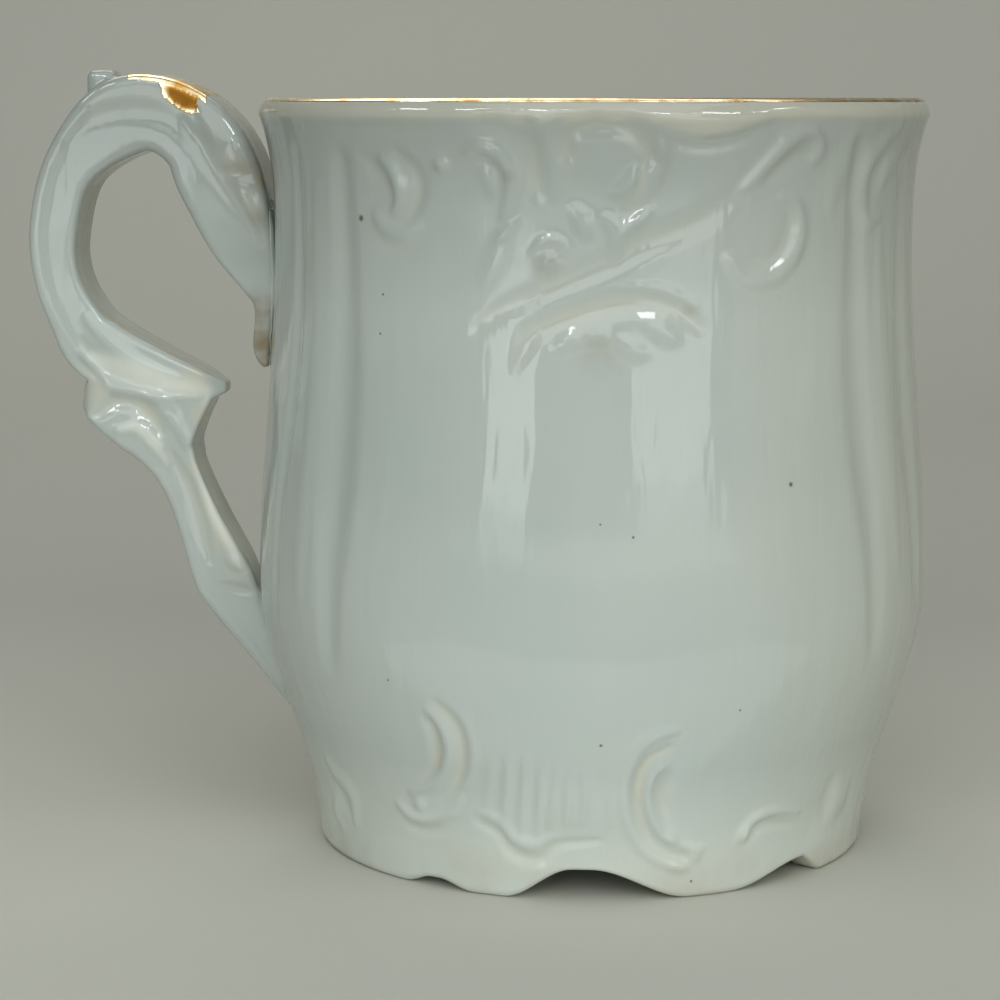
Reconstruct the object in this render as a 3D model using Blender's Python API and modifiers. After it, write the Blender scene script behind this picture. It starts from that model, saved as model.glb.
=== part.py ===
"""A moulded porcelain espresso cup with a scroll handle, modelled piece by piece.

Metres, +Z up. The cup stands on Z = 0, its handle points along -X and its front faces -Y.
Angles round the wall are measured from the front, positive towards +X.
"""
import math

import bmesh
import bpy
from mathutils import Vector

# Cup wall, turned about the cup's own axis
CUP_HEIGHT = 0.0640
RIM_DIAMETER = 0.0572
WAIST_DIAMETER = 0.0546
BELLY_DIAMETER = 0.0579
FOOT_DIAMETER = 0.0477
WAIST_DROP = 0.0120  # from the rim down to the narrowest line
BELLY_HEIGHT = 0.0230
LIP_CROWN = 0.0016  # from the lip's widest line up to the rim
LIP_THICKNESS = 0.0026
WALL_THICKNESS = 0.0026
FLOOR_THICKNESS = 0.0030
FLOOR_FILLET = 0.0055
FLARE_POWER = 3  # how late the wall turns out below the lip

# Foot ring and the openings in its edge
FOOT_RING_WIDTH = 0.0028
FOOT_RECESS = 0.0032
FOOT_EDGE_ROUND = 0.0004
ARCH_HEIGHT = 0.0024
LEFT_NOTCH_HEIGHT = 0.0010
RIGHT_NOTCH_HEIGHT = 0.0016
LOBE_POWER = 2  # how round the lobes between the openings are

# Pilasters: pairs of upright grooves that leave a broad rib between the panels of the wall
PILASTER_GROOVES = (-57, -43, 54, 70)  # degrees from the front
GROOVE_RADIUS = 0.0022
GROOVE_DEPTH = 0.0006
GROOVE_TOP_DROP = 0.0085
GROOVE_BOTTOM_HEIGHT = 0.0210
GROOVE_FADE = 0.3  # how far the ends of a groove lift clear of the wall, as a share of its depth
GROOVE_STEPS = 10

# Moulded scrolls: a frieze under the lip and one over the foot
UPPER_FRIEZE_HEIGHT = 0.0200
LOWER_FRIEZE_HEIGHT = 0.0160
SCROLL_RADIUS = 0.0012
SCROLL_PROUD = 0.0006
SCROLL_TAPER = 0.4  # size of a scroll's ends as a share of its middle
SCROLL_STEPS = 3

# Handle, a moulded scroll in the plane through the cup's axis
HANDLE_PROJECTION = 0.0183  # from the lip to the middle of the outermost band
LOOP_HEIGHT = 0.0240  # from the middle of the crest down to the spur's tip
CREST_DROP = 0.0015  # middle of the crest below the rim
BAND_THICKNESS = 0.0042
BAND_DEPTH = 0.0062
FLUTE_DEPTH = 0.0004
LEAF_TIP_DROP = 0.0234
LEAF_TOP_DROP = 0.0068
LEAF_THICKNESS = 0.0078
LEAF_DEPTH = 0.0072
KNUCKLE_REACH = 0.0154  # from the lip out to the end of the knuckle
KNUCKLE_DROP = 0.0004  # from the spur's tip down to the middle of the knuckle
STEM_THICKNESS = 0.0038
STEM_DEPTH = 0.0046
STEM_SEAT_HEIGHT = 0.0224
TAIL_HEIGHT = 0.0105
NUB_PLACE = 0.77  # share of the projection out from the lip
NUB_LENGTH = 0.0025
NUB_DEPTH = 0.0034
NUB_RISE = 0.0024  # top of the nub above the rim

# Slip that the handle is stuck on with, and the gilding fired on last
SLIP_THICKNESS = 0.0005
SLIP_FLARE = 0.0004
SLIP_GAP = 0.0002
GILDING_THICKNESS = 0.00025
GILDING_GAP = 0.0001
GILT_PLACE = 0.25  # where the gold starts, as a share of the projection out from the lip
GILT_CREST_RISE = 0.8  # top of the crest over its middle line, as a share of the band's thickness
GILT_STROKE_LENGTH = 0.0068
GILT_STROKE_DEPTH = 0.0009
GILT_DRIP_LENGTH = 0.0036
GILT_DRIP_DEPTH = 0.0034

# Fineness of the facets
TURN_STEPS = 60
WALL_ROWS = 16
ARC_STEPS = 5
LOBE_STEPS = 6
BEAD_RESOLUTION = 2
SECTION_SIDES = 16
SPAN_STEPS = 3
SECTION_SQUARENESS = 0.72
MERGE_DISTANCE = 0.00001

# Sizes that follow from those above
LIP_RADIUS = RIM_DIAMETER / 2
WAIST_RADIUS = WAIST_DIAMETER / 2
BELLY_RADIUS = BELLY_DIAMETER / 2
FOOT_RADIUS = FOOT_DIAMETER / 2
LIP_LINE = CUP_HEIGHT - LIP_CROWN
WAIST_LINE = CUP_HEIGHT - WAIST_DROP
FLOOR_TOP = FOOT_RECESS + FLOOR_THICKNESS
SLIP_SPACE = SLIP_THICKNESS + 2 * SLIP_GAP
CREST_LINE = CUP_HEIGHT - CREST_DROP

# Openings between the foot's rounded lobes: the degrees from the front where each starts, reaches its
# top, leaves it and ends, then its height
FOOT_OPENINGS = {
    "foot_arch": ((-13, -3.5, 4.5, 24), ARCH_HEIGHT),
    "left_notch": ((-35, -30.2, -29.2, -19), LEFT_NOTCH_HEIGHT),
    "right_notch": ((36, 51, 53.5, 60), RIGHT_NOTCH_HEIGHT),
}
# Scrolls under the lip: degrees from the front, then the share of the frieze's height down from the rim
UPPER_SCROLLS = {
    "comma": ((-36.5, 0.24), (-32.5, 0.275), (-30, 0.33), (-28.8, 0.395), (-29.2, 0.45)),
    "spiral": ((-17, 0.20), (-14.2, 0.175), (-11.7, 0.195), (-9.6, 0.27), (-9, 0.38), (-9.9, 0.45)),
    "ring": ((12.1, 0.09), (14.8, 0.17), (16, 0.27), (14.9, 0.375), (10.4, 0.495)),
    "long_stem": ((-11.5, 0.85), (5.3, 0.67), (15, 0.57), (22.4, 0.465), (29.2, 0.315), (38.5, 0.14)),
    "loop": ((36.6, 0.375), (39.9, 0.435), (40.1, 0.555), (35.4, 0.685), (31.5, 0.705), (27.2, 0.61)),
    "far_leaf": ((64.3, 0.105), (58.3, 0.205), (55, 0.325), (55.1, 0.43), (57.2, 0.49), (61.4, 0.46)),
    "brow": ((-4, 0.92), (2.9, 0.765), (11.8, 0.715), (19.6, 0.75), (23.5, 0.83)),
}
# Scrolls over the foot: degrees from the front, then the share of the frieze's height up from the table
LOWER_SCROLLS = {
    "left_crescent": (
        (-17, 1.0), (-16.3, 0.80), (-18.5, 0.595), (-22.5, 0.45), (-28.5, 0.37), (-34.7, 0.425)),
    "left_bud": ((-23.7, 0.99), (-21, 0.87), (-21.5, 0.72), (-25.5, 0.57), (-31, 0.54)),
    "right_crescent": ((18.2, 0.925), (12.5, 0.84), (10.1, 0.695), (11.2, 0.49), (16, 0.28), (23, 0.19)),
    "right_bud": ((16.8, 0.73), (14.8, 0.60), (15.8, 0.45), (18.2, 0.37)),
    "side_shell": ((33.3, 0.27), (36.6, 0.43), (41.2, 0.45), (45.8, 0.425), (49.2, 0.34)),
    "fan_hem": ((-16, 0.44), (-10.5, 0.31), (-6.2, 0.295), (-2.7, 0.375), (6.5, 0.375)),
}

# The handle's middle line from crest to spur: shares of the projection out from the lip and of
# the loop's height down from the crest, then the thickness and depth as shares of the band's
SCROLL_STATIONS = (
    (0.31, 0.09, 1.85, 1.12),
    (0.49, 0.00, 1.62, 1.06),
    (0.71, 0.00, 1.36, 1.02),
    (0.92, 0.19, 1.12, 1.00),
    (1.00, 0.41, 1.02, 1.00),
    (0.99, 0.58, 0.97, 1.00),
    (0.91, 0.73, 1.08, 1.00),
    (0.79, 0.85, 1.34, 1.00),
    (0.52, 0.94, 1.10, 0.92),
    (0.30, 0.98, 0.66, 0.72),
    (0.20, 1.00, 0.26, 0.34),
)
# The leaf that runs down the wall from the crest: stand-off from the wall as a share of the
# leaf's thickness, place between its tip (0) and its top (1), then thickness and depth shares
LEAF_STATIONS = (
    (0.19, 0.00, 0.10, 0.16),
    (0.17, 0.18, 0.24, 0.34),
    (0.23, 0.42, 0.50, 0.66),
    (0.43, 0.68, 0.84, 0.92),
    (0.62, 1.00, 1.03, 1.00),
)
# The stem from the knuckle to its seat on the wall: shares of the way across and of the way
# down, then the thickness and depth as shares of the stem's
STEM_STATIONS = (
    (-0.06, 0.00, 0.60, 0.90),
    (0.03, 0.01, 1.12, 1.30),
    (0.21, 0.05, 1.53, 1.36),
    (0.47, 0.17, 1.74, 1.24),
    (0.66, 0.42, 1.05, 1.06),
    (0.83, 0.71, 1.03, 1.00),
)
# The fillet that runs from the spur's underside into the stem: the same four shares
FILLET_STATIONS = (
    (0.93, -0.10, 0.50, 0.60),
    (0.80, 0.03, 0.98, 0.96),
    (0.73, 0.19, 0.90, 0.98),
    (0.72, 0.36, 0.60, 0.90),
)
# The stem's tail along the wall: stand-off from the wall as a share of the stem's thickness,
# place between the tail's tip (0) and the seat (1), then the same shares
TAIL_STATIONS = (
    (0.96, 1.00, 1.36, 1.00),
    (0.72, 0.80, 1.24, 0.92),
    (0.42, 0.50, 0.84, 0.76),
    (0.24, 0.22, 0.46, 0.56),
    (0.12, 0.00, 0.22, 0.34),
)


def clear_scene():
    """Starts from an empty scene."""
    for obj in list(bpy.data.objects):
        bpy.data.objects.remove(obj, do_unlink=True)


def new_collection(name):
    """A collection under the scene's own."""
    collection = bpy.data.collections.new(name)
    bpy.context.scene.collection.children.link(collection)
    return collection


def make_material(name, colour, roughness, metallic):
    """A Principled material."""
    material = bpy.data.materials.new(name)
    material.use_nodes = True
    shader = material.node_tree.nodes["Principled BSDF"]
    shader.inputs["Base Color"].default_value = (*colour, 1.0)
    shader.inputs["Roughness"].default_value = roughness
    shader.inputs["Metallic"].default_value = metallic
    return material


def add_object(name, mesh, collection, axis, material=None):
    """An object about the cup's axis, in its collection and with its material."""
    obj = bpy.data.objects.new(name, mesh)
    collection.objects.link(obj)
    obj.parent = axis
    if material is not None:
        mesh.materials.append(material)
    else:
        obj.hide_render = True
        obj.display_type = "WIRE"
    return obj


def ease(share):
    """Smooth step from 0 to 1 that is level at both ends."""
    return share * share * (3 - 2 * share)


def wall_radius(height):
    """Outside radius of the plain wall at a height."""
    if height <= BELLY_HEIGHT:
        rise = ease(max(height, 0.0) / BELLY_HEIGHT)
        return FOOT_RADIUS + (BELLY_RADIUS - FOOT_RADIUS) * rise
    if height <= WAIST_LINE:
        rise = ease((height - BELLY_HEIGHT) / (WAIST_LINE - BELLY_HEIGHT))
        return BELLY_RADIUS + (WAIST_RADIUS - BELLY_RADIUS) * rise
    share = min((height - WAIST_LINE) / (LIP_LINE - WAIST_LINE), 1.0)
    return WAIST_RADIUS + (LIP_RADIUS - WAIST_RADIUS) * share ** FLARE_POWER


def wall_point(angle, height, proud):
    """A point over the wall, at an angle from the front."""
    radius = wall_radius(height) + proud
    return Vector((radius * math.sin(angle), -radius * math.cos(angle), height))


def spaced(start, end, steps):
    """Even values from start to end, both included."""
    return [start + (end - start) * i / steps for i in range(steps + 1)]


def arc(centre, half_width, half_height, start, end):
    """Points on an upright ellipse between two angles, in the profile plane."""
    return [
        (centre[0] + half_width * math.cos(a), centre[1] + half_height * math.sin(a))
        for a in spaced(start, end, ARC_STEPS)
    ]


def lip_arc(start, end):
    """Points on the lip's rounded crown."""
    centre = (LIP_RADIUS - LIP_THICKNESS / 2, LIP_LINE)
    return arc(centre, LIP_THICKNESS / 2, LIP_CROWN, start, end)


def crown_angle(depth):
    """Angle on the lip's crown at a depth below the rim."""
    return math.asin(1 - depth / LIP_CROWN)


def turned(name, profile, closed, collection, axis, material=None):
    """A profile of (radius, height) points turned about the cup's axis."""
    count = len(profile)
    edges = [(i, i + 1) for i in range(count - 1)]
    if closed:
        edges.append((count - 1, 0))
    mesh = bpy.data.meshes.new(name)
    mesh.from_pydata([(r, 0.0, z) for r, z in profile], edges, [])
    obj = add_object(name, mesh, collection, axis, material)
    screw = obj.modifiers.new("Turn", "SCREW")
    screw.axis = "Z"
    screw.steps = TURN_STEPS
    screw.render_steps = TURN_STEPS
    screw.use_merge_vertices = True
    screw.merge_threshold = MERGE_DISTANCE
    screw.use_smooth_shade = True
    return obj


def boolean(obj, operation, other):
    """Cuts or joins with another object, or with all those of a collection."""
    modifier = obj.modifiers.new(operation.title(), "BOOLEAN")
    modifier.operation = operation
    modifier.solver = "EXACT"
    if isinstance(other, bpy.types.Collection):
        modifier.operand_type = "COLLECTION"
        modifier.collection = other
    else:
        modifier.object = other


def outer_wall(offset):
    """The plain wall from lip to foot edge, moved out by an offset."""
    heights = spaced(LIP_LINE, FOOT_EDGE_ROUND, WALL_ROWS)
    return [(wall_radius(z) + offset, z) for z in heights]


def body_profile():
    """The cup's section: floor, inner wall, lip, outer wall, foot ring and recess."""
    fillet_line = FLOOR_TOP + FLOOR_FILLET
    fillet_radius = wall_radius(fillet_line) - WALL_THICKNESS - FLOOR_FILLET
    seat = crown_angle(GILDING_THICKNESS + GILDING_GAP)
    profile = [(0.0, FLOOR_TOP)]
    profile += arc((fillet_radius, fillet_line), FLOOR_FILLET, FLOOR_FILLET, -math.pi / 2, 0.0)
    inner_heights = spaced(fillet_line, LIP_LINE, WALL_ROWS // 2)[1:-1]
    profile += [(wall_radius(z) - WALL_THICKNESS, z) for z in inner_heights]
    profile += lip_arc(math.pi, math.pi - seat)
    profile += lip_arc(seat, 0.0)
    profile += outer_wall(0.0)[1:]
    ring_inside = FOOT_RADIUS - FOOT_RING_WIDTH
    profile.append((FOOT_RADIUS - FOOT_EDGE_ROUND, 0.0))
    profile.append((ring_inside + FOOT_EDGE_ROUND, 0.0))
    profile.append((ring_inside, FOOT_EDGE_ROUND))
    profile.append((ring_inside, FOOT_RECESS))
    profile.append((0.0, FOOT_RECESS))
    return profile


def wall_solid(name, offset, collection, axis):
    """A solid of the cup's outside, moved out by an offset, for trimming what sits on the wall."""
    top = CUP_HEIGHT + FLOOR_THICKNESS
    profile = [(0.0, top), (LIP_RADIUS + offset, top)]
    profile += outer_wall(offset)
    profile.append((0.0, FOOT_EDGE_ROUND))
    return turned(name, profile, False, collection, axis)


def foot_opening(name, span, height, collection, axis):
    """Cutters through the foot ring between two rounded lobes, on both sides of the cup."""
    start, top, top_end, end = (math.radians(a) for a in span)
    middle = (start + end) / 2
    shares = spaced(0.0, 1.0, LOBE_STEPS)
    outline = [(start, -height)]
    outline += [(start + (top - start) * s, height * s ** LOBE_POWER) for s in shares]
    outline += [(end + (top_end - end) * s, height * s ** LOBE_POWER) for s in reversed(shares)]
    outline.append((end, -height))
    radius = FOOT_RADIUS - FOOT_RING_WIDTH / 2
    for side, angle in zip((1, -1), both_sides(middle)):
        bm = bmesh.new()
        corners = [(side * FOOT_RADIUS * math.sin(a - middle), z, -FOOT_RING_WIDTH) for a, z in outline]
        face = bm.faces.new([bm.verts.new(corner) for corner in corners])
        raised = bmesh.ops.extrude_face_region(bm, geom=[face], use_keep_orig=True)["geom"]
        raised = [item for item in raised if isinstance(item, bmesh.types.BMVert)]
        bmesh.ops.translate(bm, vec=(0.0, 0.0, 2 * FOOT_RING_WIDTH), verts=raised)
        bmesh.ops.recalc_face_normals(bm, faces=bm.faces)
        mesh = bpy.data.meshes.new(name)
        bm.to_mesh(mesh)
        bm.free()
        cutter = add_object(name, mesh, collection, axis)
        cutter.location = (radius * math.sin(angle), -radius * math.cos(angle), 0.0)
        cutter.rotation_euler = (math.pi / 2, 0.0, angle)


def bead(name, points, radii, collection, axis):
    """A tapered round bead along points, as a closed mesh."""
    curve = bpy.data.curves.new(name, "CURVE")
    curve.dimensions = "3D"
    curve.bevel_depth = 1.0
    curve.bevel_resolution = BEAD_RESOLUTION
    curve.use_fill_caps = True
    spline = curve.splines.new("POLY")
    spline.points.add(len(points) - 1)
    for place, point, radius in zip(spline.points, points, radii):
        place.co = (*point, 1.0)
        place.radius = radius
    guide = bpy.data.objects.new(name, curve)
    collection.objects.link(guide)
    evaluated = guide.evaluated_get(bpy.context.evaluated_depsgraph_get())
    mesh = bpy.data.meshes.new_from_object(evaluated)
    bpy.data.objects.remove(guide)
    bm = bmesh.new()
    bm.from_mesh(mesh)
    bmesh.ops.remove_doubles(bm, verts=bm.verts, dist=MERGE_DISTANCE)
    bmesh.ops.recalc_face_normals(bm, faces=bm.faces)
    bm.to_mesh(mesh)
    bm.free()
    return add_object(name, mesh, collection, axis)


def both_sides(angle):
    """An angle on the front of the cup and its mirror image on the back."""
    return angle, math.pi - angle


def fullness(count, least):
    """Shares that swell from least at both ends to 1 in the middle."""
    return [least + (1 - least) * math.sin(math.pi * i / (count - 1)) for i in range(count)]


def add_pilasters(collection, axis):
    """Cutters for paired grooves on both sides of the cup, lifting clear of the wall at their ends."""
    heights = spaced(CUP_HEIGHT - GROOVE_TOP_DROP, GROOVE_BOTTOM_HEIGHT, GROOVE_STEPS)
    depths = [GROOVE_DEPTH * share for share in fullness(len(heights), -GROOVE_FADE)]
    radii = [GROOVE_RADIUS] * len(heights)
    for front in PILASTER_GROOVES:
        for angle in both_sides(math.radians(front)):
            points = [wall_point(angle, z, GROOVE_RADIUS - d) for z, d in zip(heights, depths)]
            bead("pilaster_groove", points, radii, collection, axis)


def add_scroll(name, places, collection, axis):
    """One moulded scroll through (angle, height) places, on both sides of the cup."""
    path = smooth_path(places, SCROLL_STEPS)
    swell = fullness(len(path), SCROLL_TAPER)
    radii = [SCROLL_RADIUS * share for share in swell]
    inset = SCROLL_PROUD - SCROLL_RADIUS
    for side in range(2):
        points = [wall_point(both_sides(p.x)[side], p.y, inset * share) for p, share in zip(path, swell)]
        bead(name, points, radii, collection, axis)


def add_friezes(collection, axis):
    """All the moulded scrolls, under the lip and over the foot."""
    for name, shares in UPPER_SCROLLS.items():
        places = [Vector((math.radians(a), CUP_HEIGHT - down * UPPER_FRIEZE_HEIGHT)) for a, down in shares]
        add_scroll(name, places, collection, axis)
    for name, shares in LOWER_SCROLLS.items():
        places = [Vector((math.radians(a), up * LOWER_FRIEZE_HEIGHT)) for a, up in shares]
        add_scroll(name, places, collection, axis)


def smooth_path(stations, steps):
    """Points on a smooth curve through the stations, by Catmull-Rom spans of some steps each."""
    ends = [2 * stations[0] - stations[1], *stations, 2 * stations[-1] - stations[-2]]
    path = []
    for before, start, end, after in zip(ends, ends[1:], ends[2:], ends[3:]):
        for step in range(steps):
            t = step / steps
            pull = (end - before) * t + (2 * before - 5 * start + 4 * end - after) * t ** 2
            pull += (3 * (start - end) + after - before) * t ** 3
            path.append(start + 0.5 * pull)
    path.append(stations[-1])
    return path


def section(half_thickness, half_depth):
    """A squarish band's section with a flute along each side: (in plane, across) points."""
    points = []
    for side in range(SECTION_SIDES):
        angle = 2 * math.pi * side / SECTION_SIDES
        along = math.copysign(abs(math.cos(angle)) ** SECTION_SQUARENESS, math.cos(angle))
        across = math.copysign(abs(math.sin(angle)) ** SECTION_SQUARENESS, math.sin(angle))
        if side * 4 % SECTION_SIDES == 0 and side * 2 % SECTION_SIDES != 0:
            across *= 1 - 2 * FLUTE_DEPTH / BAND_DEPTH
        points.append((half_thickness * along, half_depth * across))
    return points


def loft(name, stations, extra, collection, axis, material=None):
    """Skins fluted sections along a path in the handle's plane, all fattened by extra."""
    path = smooth_path(stations, SPAN_STEPS)
    bm = bmesh.new()
    rings = []
    for before, here, after in zip([path[0], *path], path, [*path[1:], path[-1]]):
        heading = Vector((before.x - after.x, after.y - before.y)).normalized()
        ring = []
        for along, across in section(here.z + extra, here.w + extra):
            x = -here.x - heading.y * along
            z = here.y + heading.x * along
            ring.append(bm.verts.new((x, across, z)))
        rings.append(ring)
    for ring, following in zip(rings, rings[1:]):
        for i in range(SECTION_SIDES):
            j = (i + 1) % SECTION_SIDES
            bm.faces.new((ring[i], ring[j], following[j], following[i]))
    bm.faces.new(rings[0])
    bm.faces.new(rings[-1])
    bmesh.ops.recalc_face_normals(bm, faces=bm.faces)
    for face in bm.faces:
        face.smooth = True
    mesh = bpy.data.meshes.new(name)
    bm.to_mesh(mesh)
    bm.free()
    return add_object(name, mesh, collection, axis, material)


def scroll_stations():
    """Leaf, crest, loop, arm and spur: (distance from the axis, height, half sizes)."""
    tip = CUP_HEIGHT - LEAF_TIP_DROP
    top = CUP_HEIGHT - LEAF_TOP_DROP
    stations = []
    for stand_off, place, thickness, depth in LEAF_STATIONS:
        z = tip + (top - tip) * place
        out = wall_radius(z) + stand_off * LEAF_THICKNESS
        stations.append(Vector((out, z, thickness * LEAF_THICKNESS / 2, depth * LEAF_DEPTH / 2)))
    for out, down, thickness, depth in SCROLL_STATIONS:
        s = LIP_RADIUS + out * HANDLE_PROJECTION
        z = CREST_LINE - down * LOOP_HEIGHT
        stations.append(Vector((s, z, thickness * BAND_THICKNESS / 2, depth * BAND_DEPTH / 2)))
    return stations


def stem_run(shares):
    """Stations between the knuckle and the stem's seat on the wall."""
    out = LIP_RADIUS + KNUCKLE_REACH
    top = CREST_LINE - LOOP_HEIGHT - KNUCKLE_DROP
    seat_out = wall_radius(STEM_SEAT_HEIGHT) + TAIL_STATIONS[0][0] * STEM_THICKNESS
    stations = []
    for across, down, thickness, depth in shares:
        s = out + (seat_out - out) * across
        z = top + (STEM_SEAT_HEIGHT - top) * down
        stations.append(Vector((s, z, thickness * STEM_THICKNESS / 2, depth * STEM_DEPTH / 2)))
    return stations


def stem_stations():
    """The knuckle, the stem down to the wall and its tail."""
    stations = stem_run(STEM_STATIONS)
    for stand_off, place, thickness, depth in TAIL_STATIONS:
        z = TAIL_HEIGHT + (STEM_SEAT_HEIGHT - TAIL_HEIGHT) * place
        s = wall_radius(z) + stand_off * STEM_THICKNESS
        stations.append(Vector((s, z, thickness * STEM_THICKNESS / 2, depth * STEM_DEPTH / 2)))
    return stations


def box(name, low, high, collection, axis):
    """A block between two corners."""
    mesh = bpy.data.meshes.new(name)
    bm = bmesh.new()
    bmesh.ops.create_cube(bm, size=1.0)
    size = [b - a for a, b in zip(low, high)]
    bmesh.ops.scale(bm, vec=size, verts=bm.verts)
    bmesh.ops.translate(bm, vec=[(a + b) / 2 for a, b in zip(low, high)], verts=bm.verts)
    bm.to_mesh(mesh)
    bm.free()
    return add_object(name, mesh, collection, axis)


def main():
    clear_scene()
    parts = new_collection("espresso_cup")
    guides = new_collection("cutters")
    scrolls = new_collection("wall_scrolls")
    wall_cuts = new_collection("wall_cuts")
    porcelain = make_material("glazed_porcelain", (0.46, 0.51, 0.48), 0.12, 0.0)
    handle_glaze = make_material("handle_glaze", (0.47, 0.51, 0.48), 0.14, 0.0)
    upper_slip = make_material("upper_slip", (0.45, 0.49, 0.45), 0.2, 0.0)
    lower_slip = make_material("lower_slip", (0.45, 0.49, 0.45), 0.2, 0.0)
    rim_gold = make_material("rim_gold", (0.62, 0.38, 0.10), 0.25, 1.0)
    handle_gold = make_material("handle_gold", (0.62, 0.38, 0.10), 0.25, 1.0)
    axis = bpy.data.objects.new("cup_axis", None)
    parts.objects.link(axis)

    # Cup: turned, then raised into scrolls, then grooved and pierced at the foot
    body = turned("cup_body", body_profile(), False, parts, axis, porcelain)
    add_friezes(scrolls, axis)
    boolean(body, "UNION", scrolls)
    add_pilasters(wall_cuts, axis)
    for name, (span, height) in FOOT_OPENINGS.items():
        foot_opening(name, span, height, wall_cuts, axis)
    boolean(body, "DIFFERENCE", wall_cuts)
    body.modifiers.new("Even shading", "WEIGHTED_NORMAL")

    # Rim gilding: the cap of the lip's own crown
    edge = crown_angle(GILDING_THICKNESS)
    turned("rim_gilding", lip_arc(math.pi - edge, edge), True, parts, axis, rim_gold)

    # Handle: scroll, stem, knuckle and nub in one, trimmed to sit on the slip
    handle = loft("handle", scroll_stations(), 0.0, parts, axis, handle_glaze)
    stem = loft("stem", stem_stations(), 0.0, guides, axis)
    nub_out = LIP_RADIUS + NUB_PLACE * HANDLE_PROJECTION
    nub = box(
        "nub",
        (-nub_out - NUB_LENGTH / 2, -NUB_DEPTH / 2, CREST_LINE),
        (-nub_out + NUB_LENGTH / 2, NUB_DEPTH / 2, CUP_HEIGHT + NUB_RISE), guides, axis)
    seat_solid = wall_solid("handle_seat", SLIP_SPACE, guides, axis)
    fillet = loft("spur_fillet", stem_run(FILLET_STATIONS), 0.0, guides, axis)
    boolean(handle, "UNION", stem)
    boolean(handle, "UNION", fillet)
    boolean(handle, "UNION", nub)
    boolean(handle, "DIFFERENCE", seat_solid)

    # Slip joints: what the handle presses out against the wall
    slip_outside = wall_solid("slip_outside", SLIP_GAP + SLIP_THICKNESS, guides, axis)
    slip_inside = wall_solid("slip_inside", SLIP_GAP, guides, axis)
    joints = (
        ("upper_slip_joint", scroll_stations(), upper_slip),
        ("lower_slip_joint", stem_stations(), lower_slip),
    )
    for name, stations, material in joints:
        slip = loft(name, stations, SLIP_FLARE, parts, axis, material)
        boolean(slip, "INTERSECT", slip_outside)
        boolean(slip, "DIFFERENCE", slip_inside)

    # Handle gilding: a stroke along the crest and a drip down the front side
    gilt_end = LIP_RADIUS + GILT_PLACE * HANDLE_PROJECTION
    crest_top = CREST_LINE + GILT_CREST_RISE * BAND_THICKNESS
    stroke = box(
        "gilt_stroke",
        (-gilt_end - GILT_STROKE_LENGTH, -BAND_DEPTH, crest_top - GILT_STROKE_DEPTH),
        (-gilt_end, BAND_DEPTH, crest_top + BAND_THICKNESS), guides, axis)
    drip = box(
        "gilt_drip",
        (-gilt_end - GILT_DRIP_LENGTH, -BAND_DEPTH, crest_top - GILT_DRIP_DEPTH),
        (-gilt_end, 0.0, crest_top + BAND_THICKNESS), guides, axis)
    boolean(stroke, "UNION", drip)
    gilt_inside = loft("gilt_inside", scroll_stations(), GILDING_GAP, guides, axis)
    gilt_offset = GILDING_GAP + GILDING_THICKNESS
    gilding = loft("handle_gilding", scroll_stations(), gilt_offset, parts, axis, handle_gold)
    boolean(gilding, "INTERSECT", stroke)
    boolean(gilding, "DIFFERENCE", gilt_inside)

    # The origin stands under the middle of the whole object
    reach = max(-v.co.x for v in handle.data.vertices)
    axis.location.x = (reach - BELLY_RADIUS) / 2


main()
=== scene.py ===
"""Looks of a moulded porcelain espresso cup: relief, glaze, scroll handle, slip joints and worn gilding.

Metres, +Z up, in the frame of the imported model. Angles round the wall are measured from the front.
"""
import math

import bpy
import numpy as np
from mathutils import Matrix, Vector


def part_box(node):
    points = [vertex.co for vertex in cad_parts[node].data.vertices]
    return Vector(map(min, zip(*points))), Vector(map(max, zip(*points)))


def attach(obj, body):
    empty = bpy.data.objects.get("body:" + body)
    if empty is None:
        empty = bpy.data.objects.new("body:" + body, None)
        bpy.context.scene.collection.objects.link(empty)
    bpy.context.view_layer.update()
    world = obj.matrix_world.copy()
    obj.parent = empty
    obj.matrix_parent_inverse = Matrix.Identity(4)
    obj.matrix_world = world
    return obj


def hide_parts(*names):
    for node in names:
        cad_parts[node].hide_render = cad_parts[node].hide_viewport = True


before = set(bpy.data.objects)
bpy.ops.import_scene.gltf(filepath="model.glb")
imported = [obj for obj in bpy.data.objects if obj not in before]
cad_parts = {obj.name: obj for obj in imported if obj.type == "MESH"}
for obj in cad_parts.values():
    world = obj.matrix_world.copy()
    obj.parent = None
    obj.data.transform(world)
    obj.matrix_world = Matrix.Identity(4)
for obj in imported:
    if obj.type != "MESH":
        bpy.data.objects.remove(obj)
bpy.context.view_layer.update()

MM = 0.001

# Cup wall, from the frame and the cup's own section
body_low, body_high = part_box("cup_body")
AXIS_X = (body_low.x + body_high.x) / 2
BELLY_RADIUS = (body_high.x - body_low.x) / 2
CUP_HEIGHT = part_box("rim_gilding")[1].z
LIP_RADIUS = 28.6 * MM
WAIST_RADIUS = 27.3 * MM
FOOT_RADIUS = 23.85 * MM
WAIST_LINE = CUP_HEIGHT - 12 * MM
BELLY_LINE = 23 * MM
LIP_CROWN = 1.3 * MM
LIP_THICKNESS = 2.6 * MM
LIP_LINE = CUP_HEIGHT - LIP_CROWN
WALL_THICKNESS = 2.6 * MM
FLARE_POWER = 3
FLOOR_TOP = 6.2 * MM
FLOOR_FILLET = 5.5 * MM
FOOT_RING_WIDTH = 2.8 * MM
FOOT_RECESS = 3.2 * MM
FOOT_EDGE_ROUND = 0.5 * MM

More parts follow.
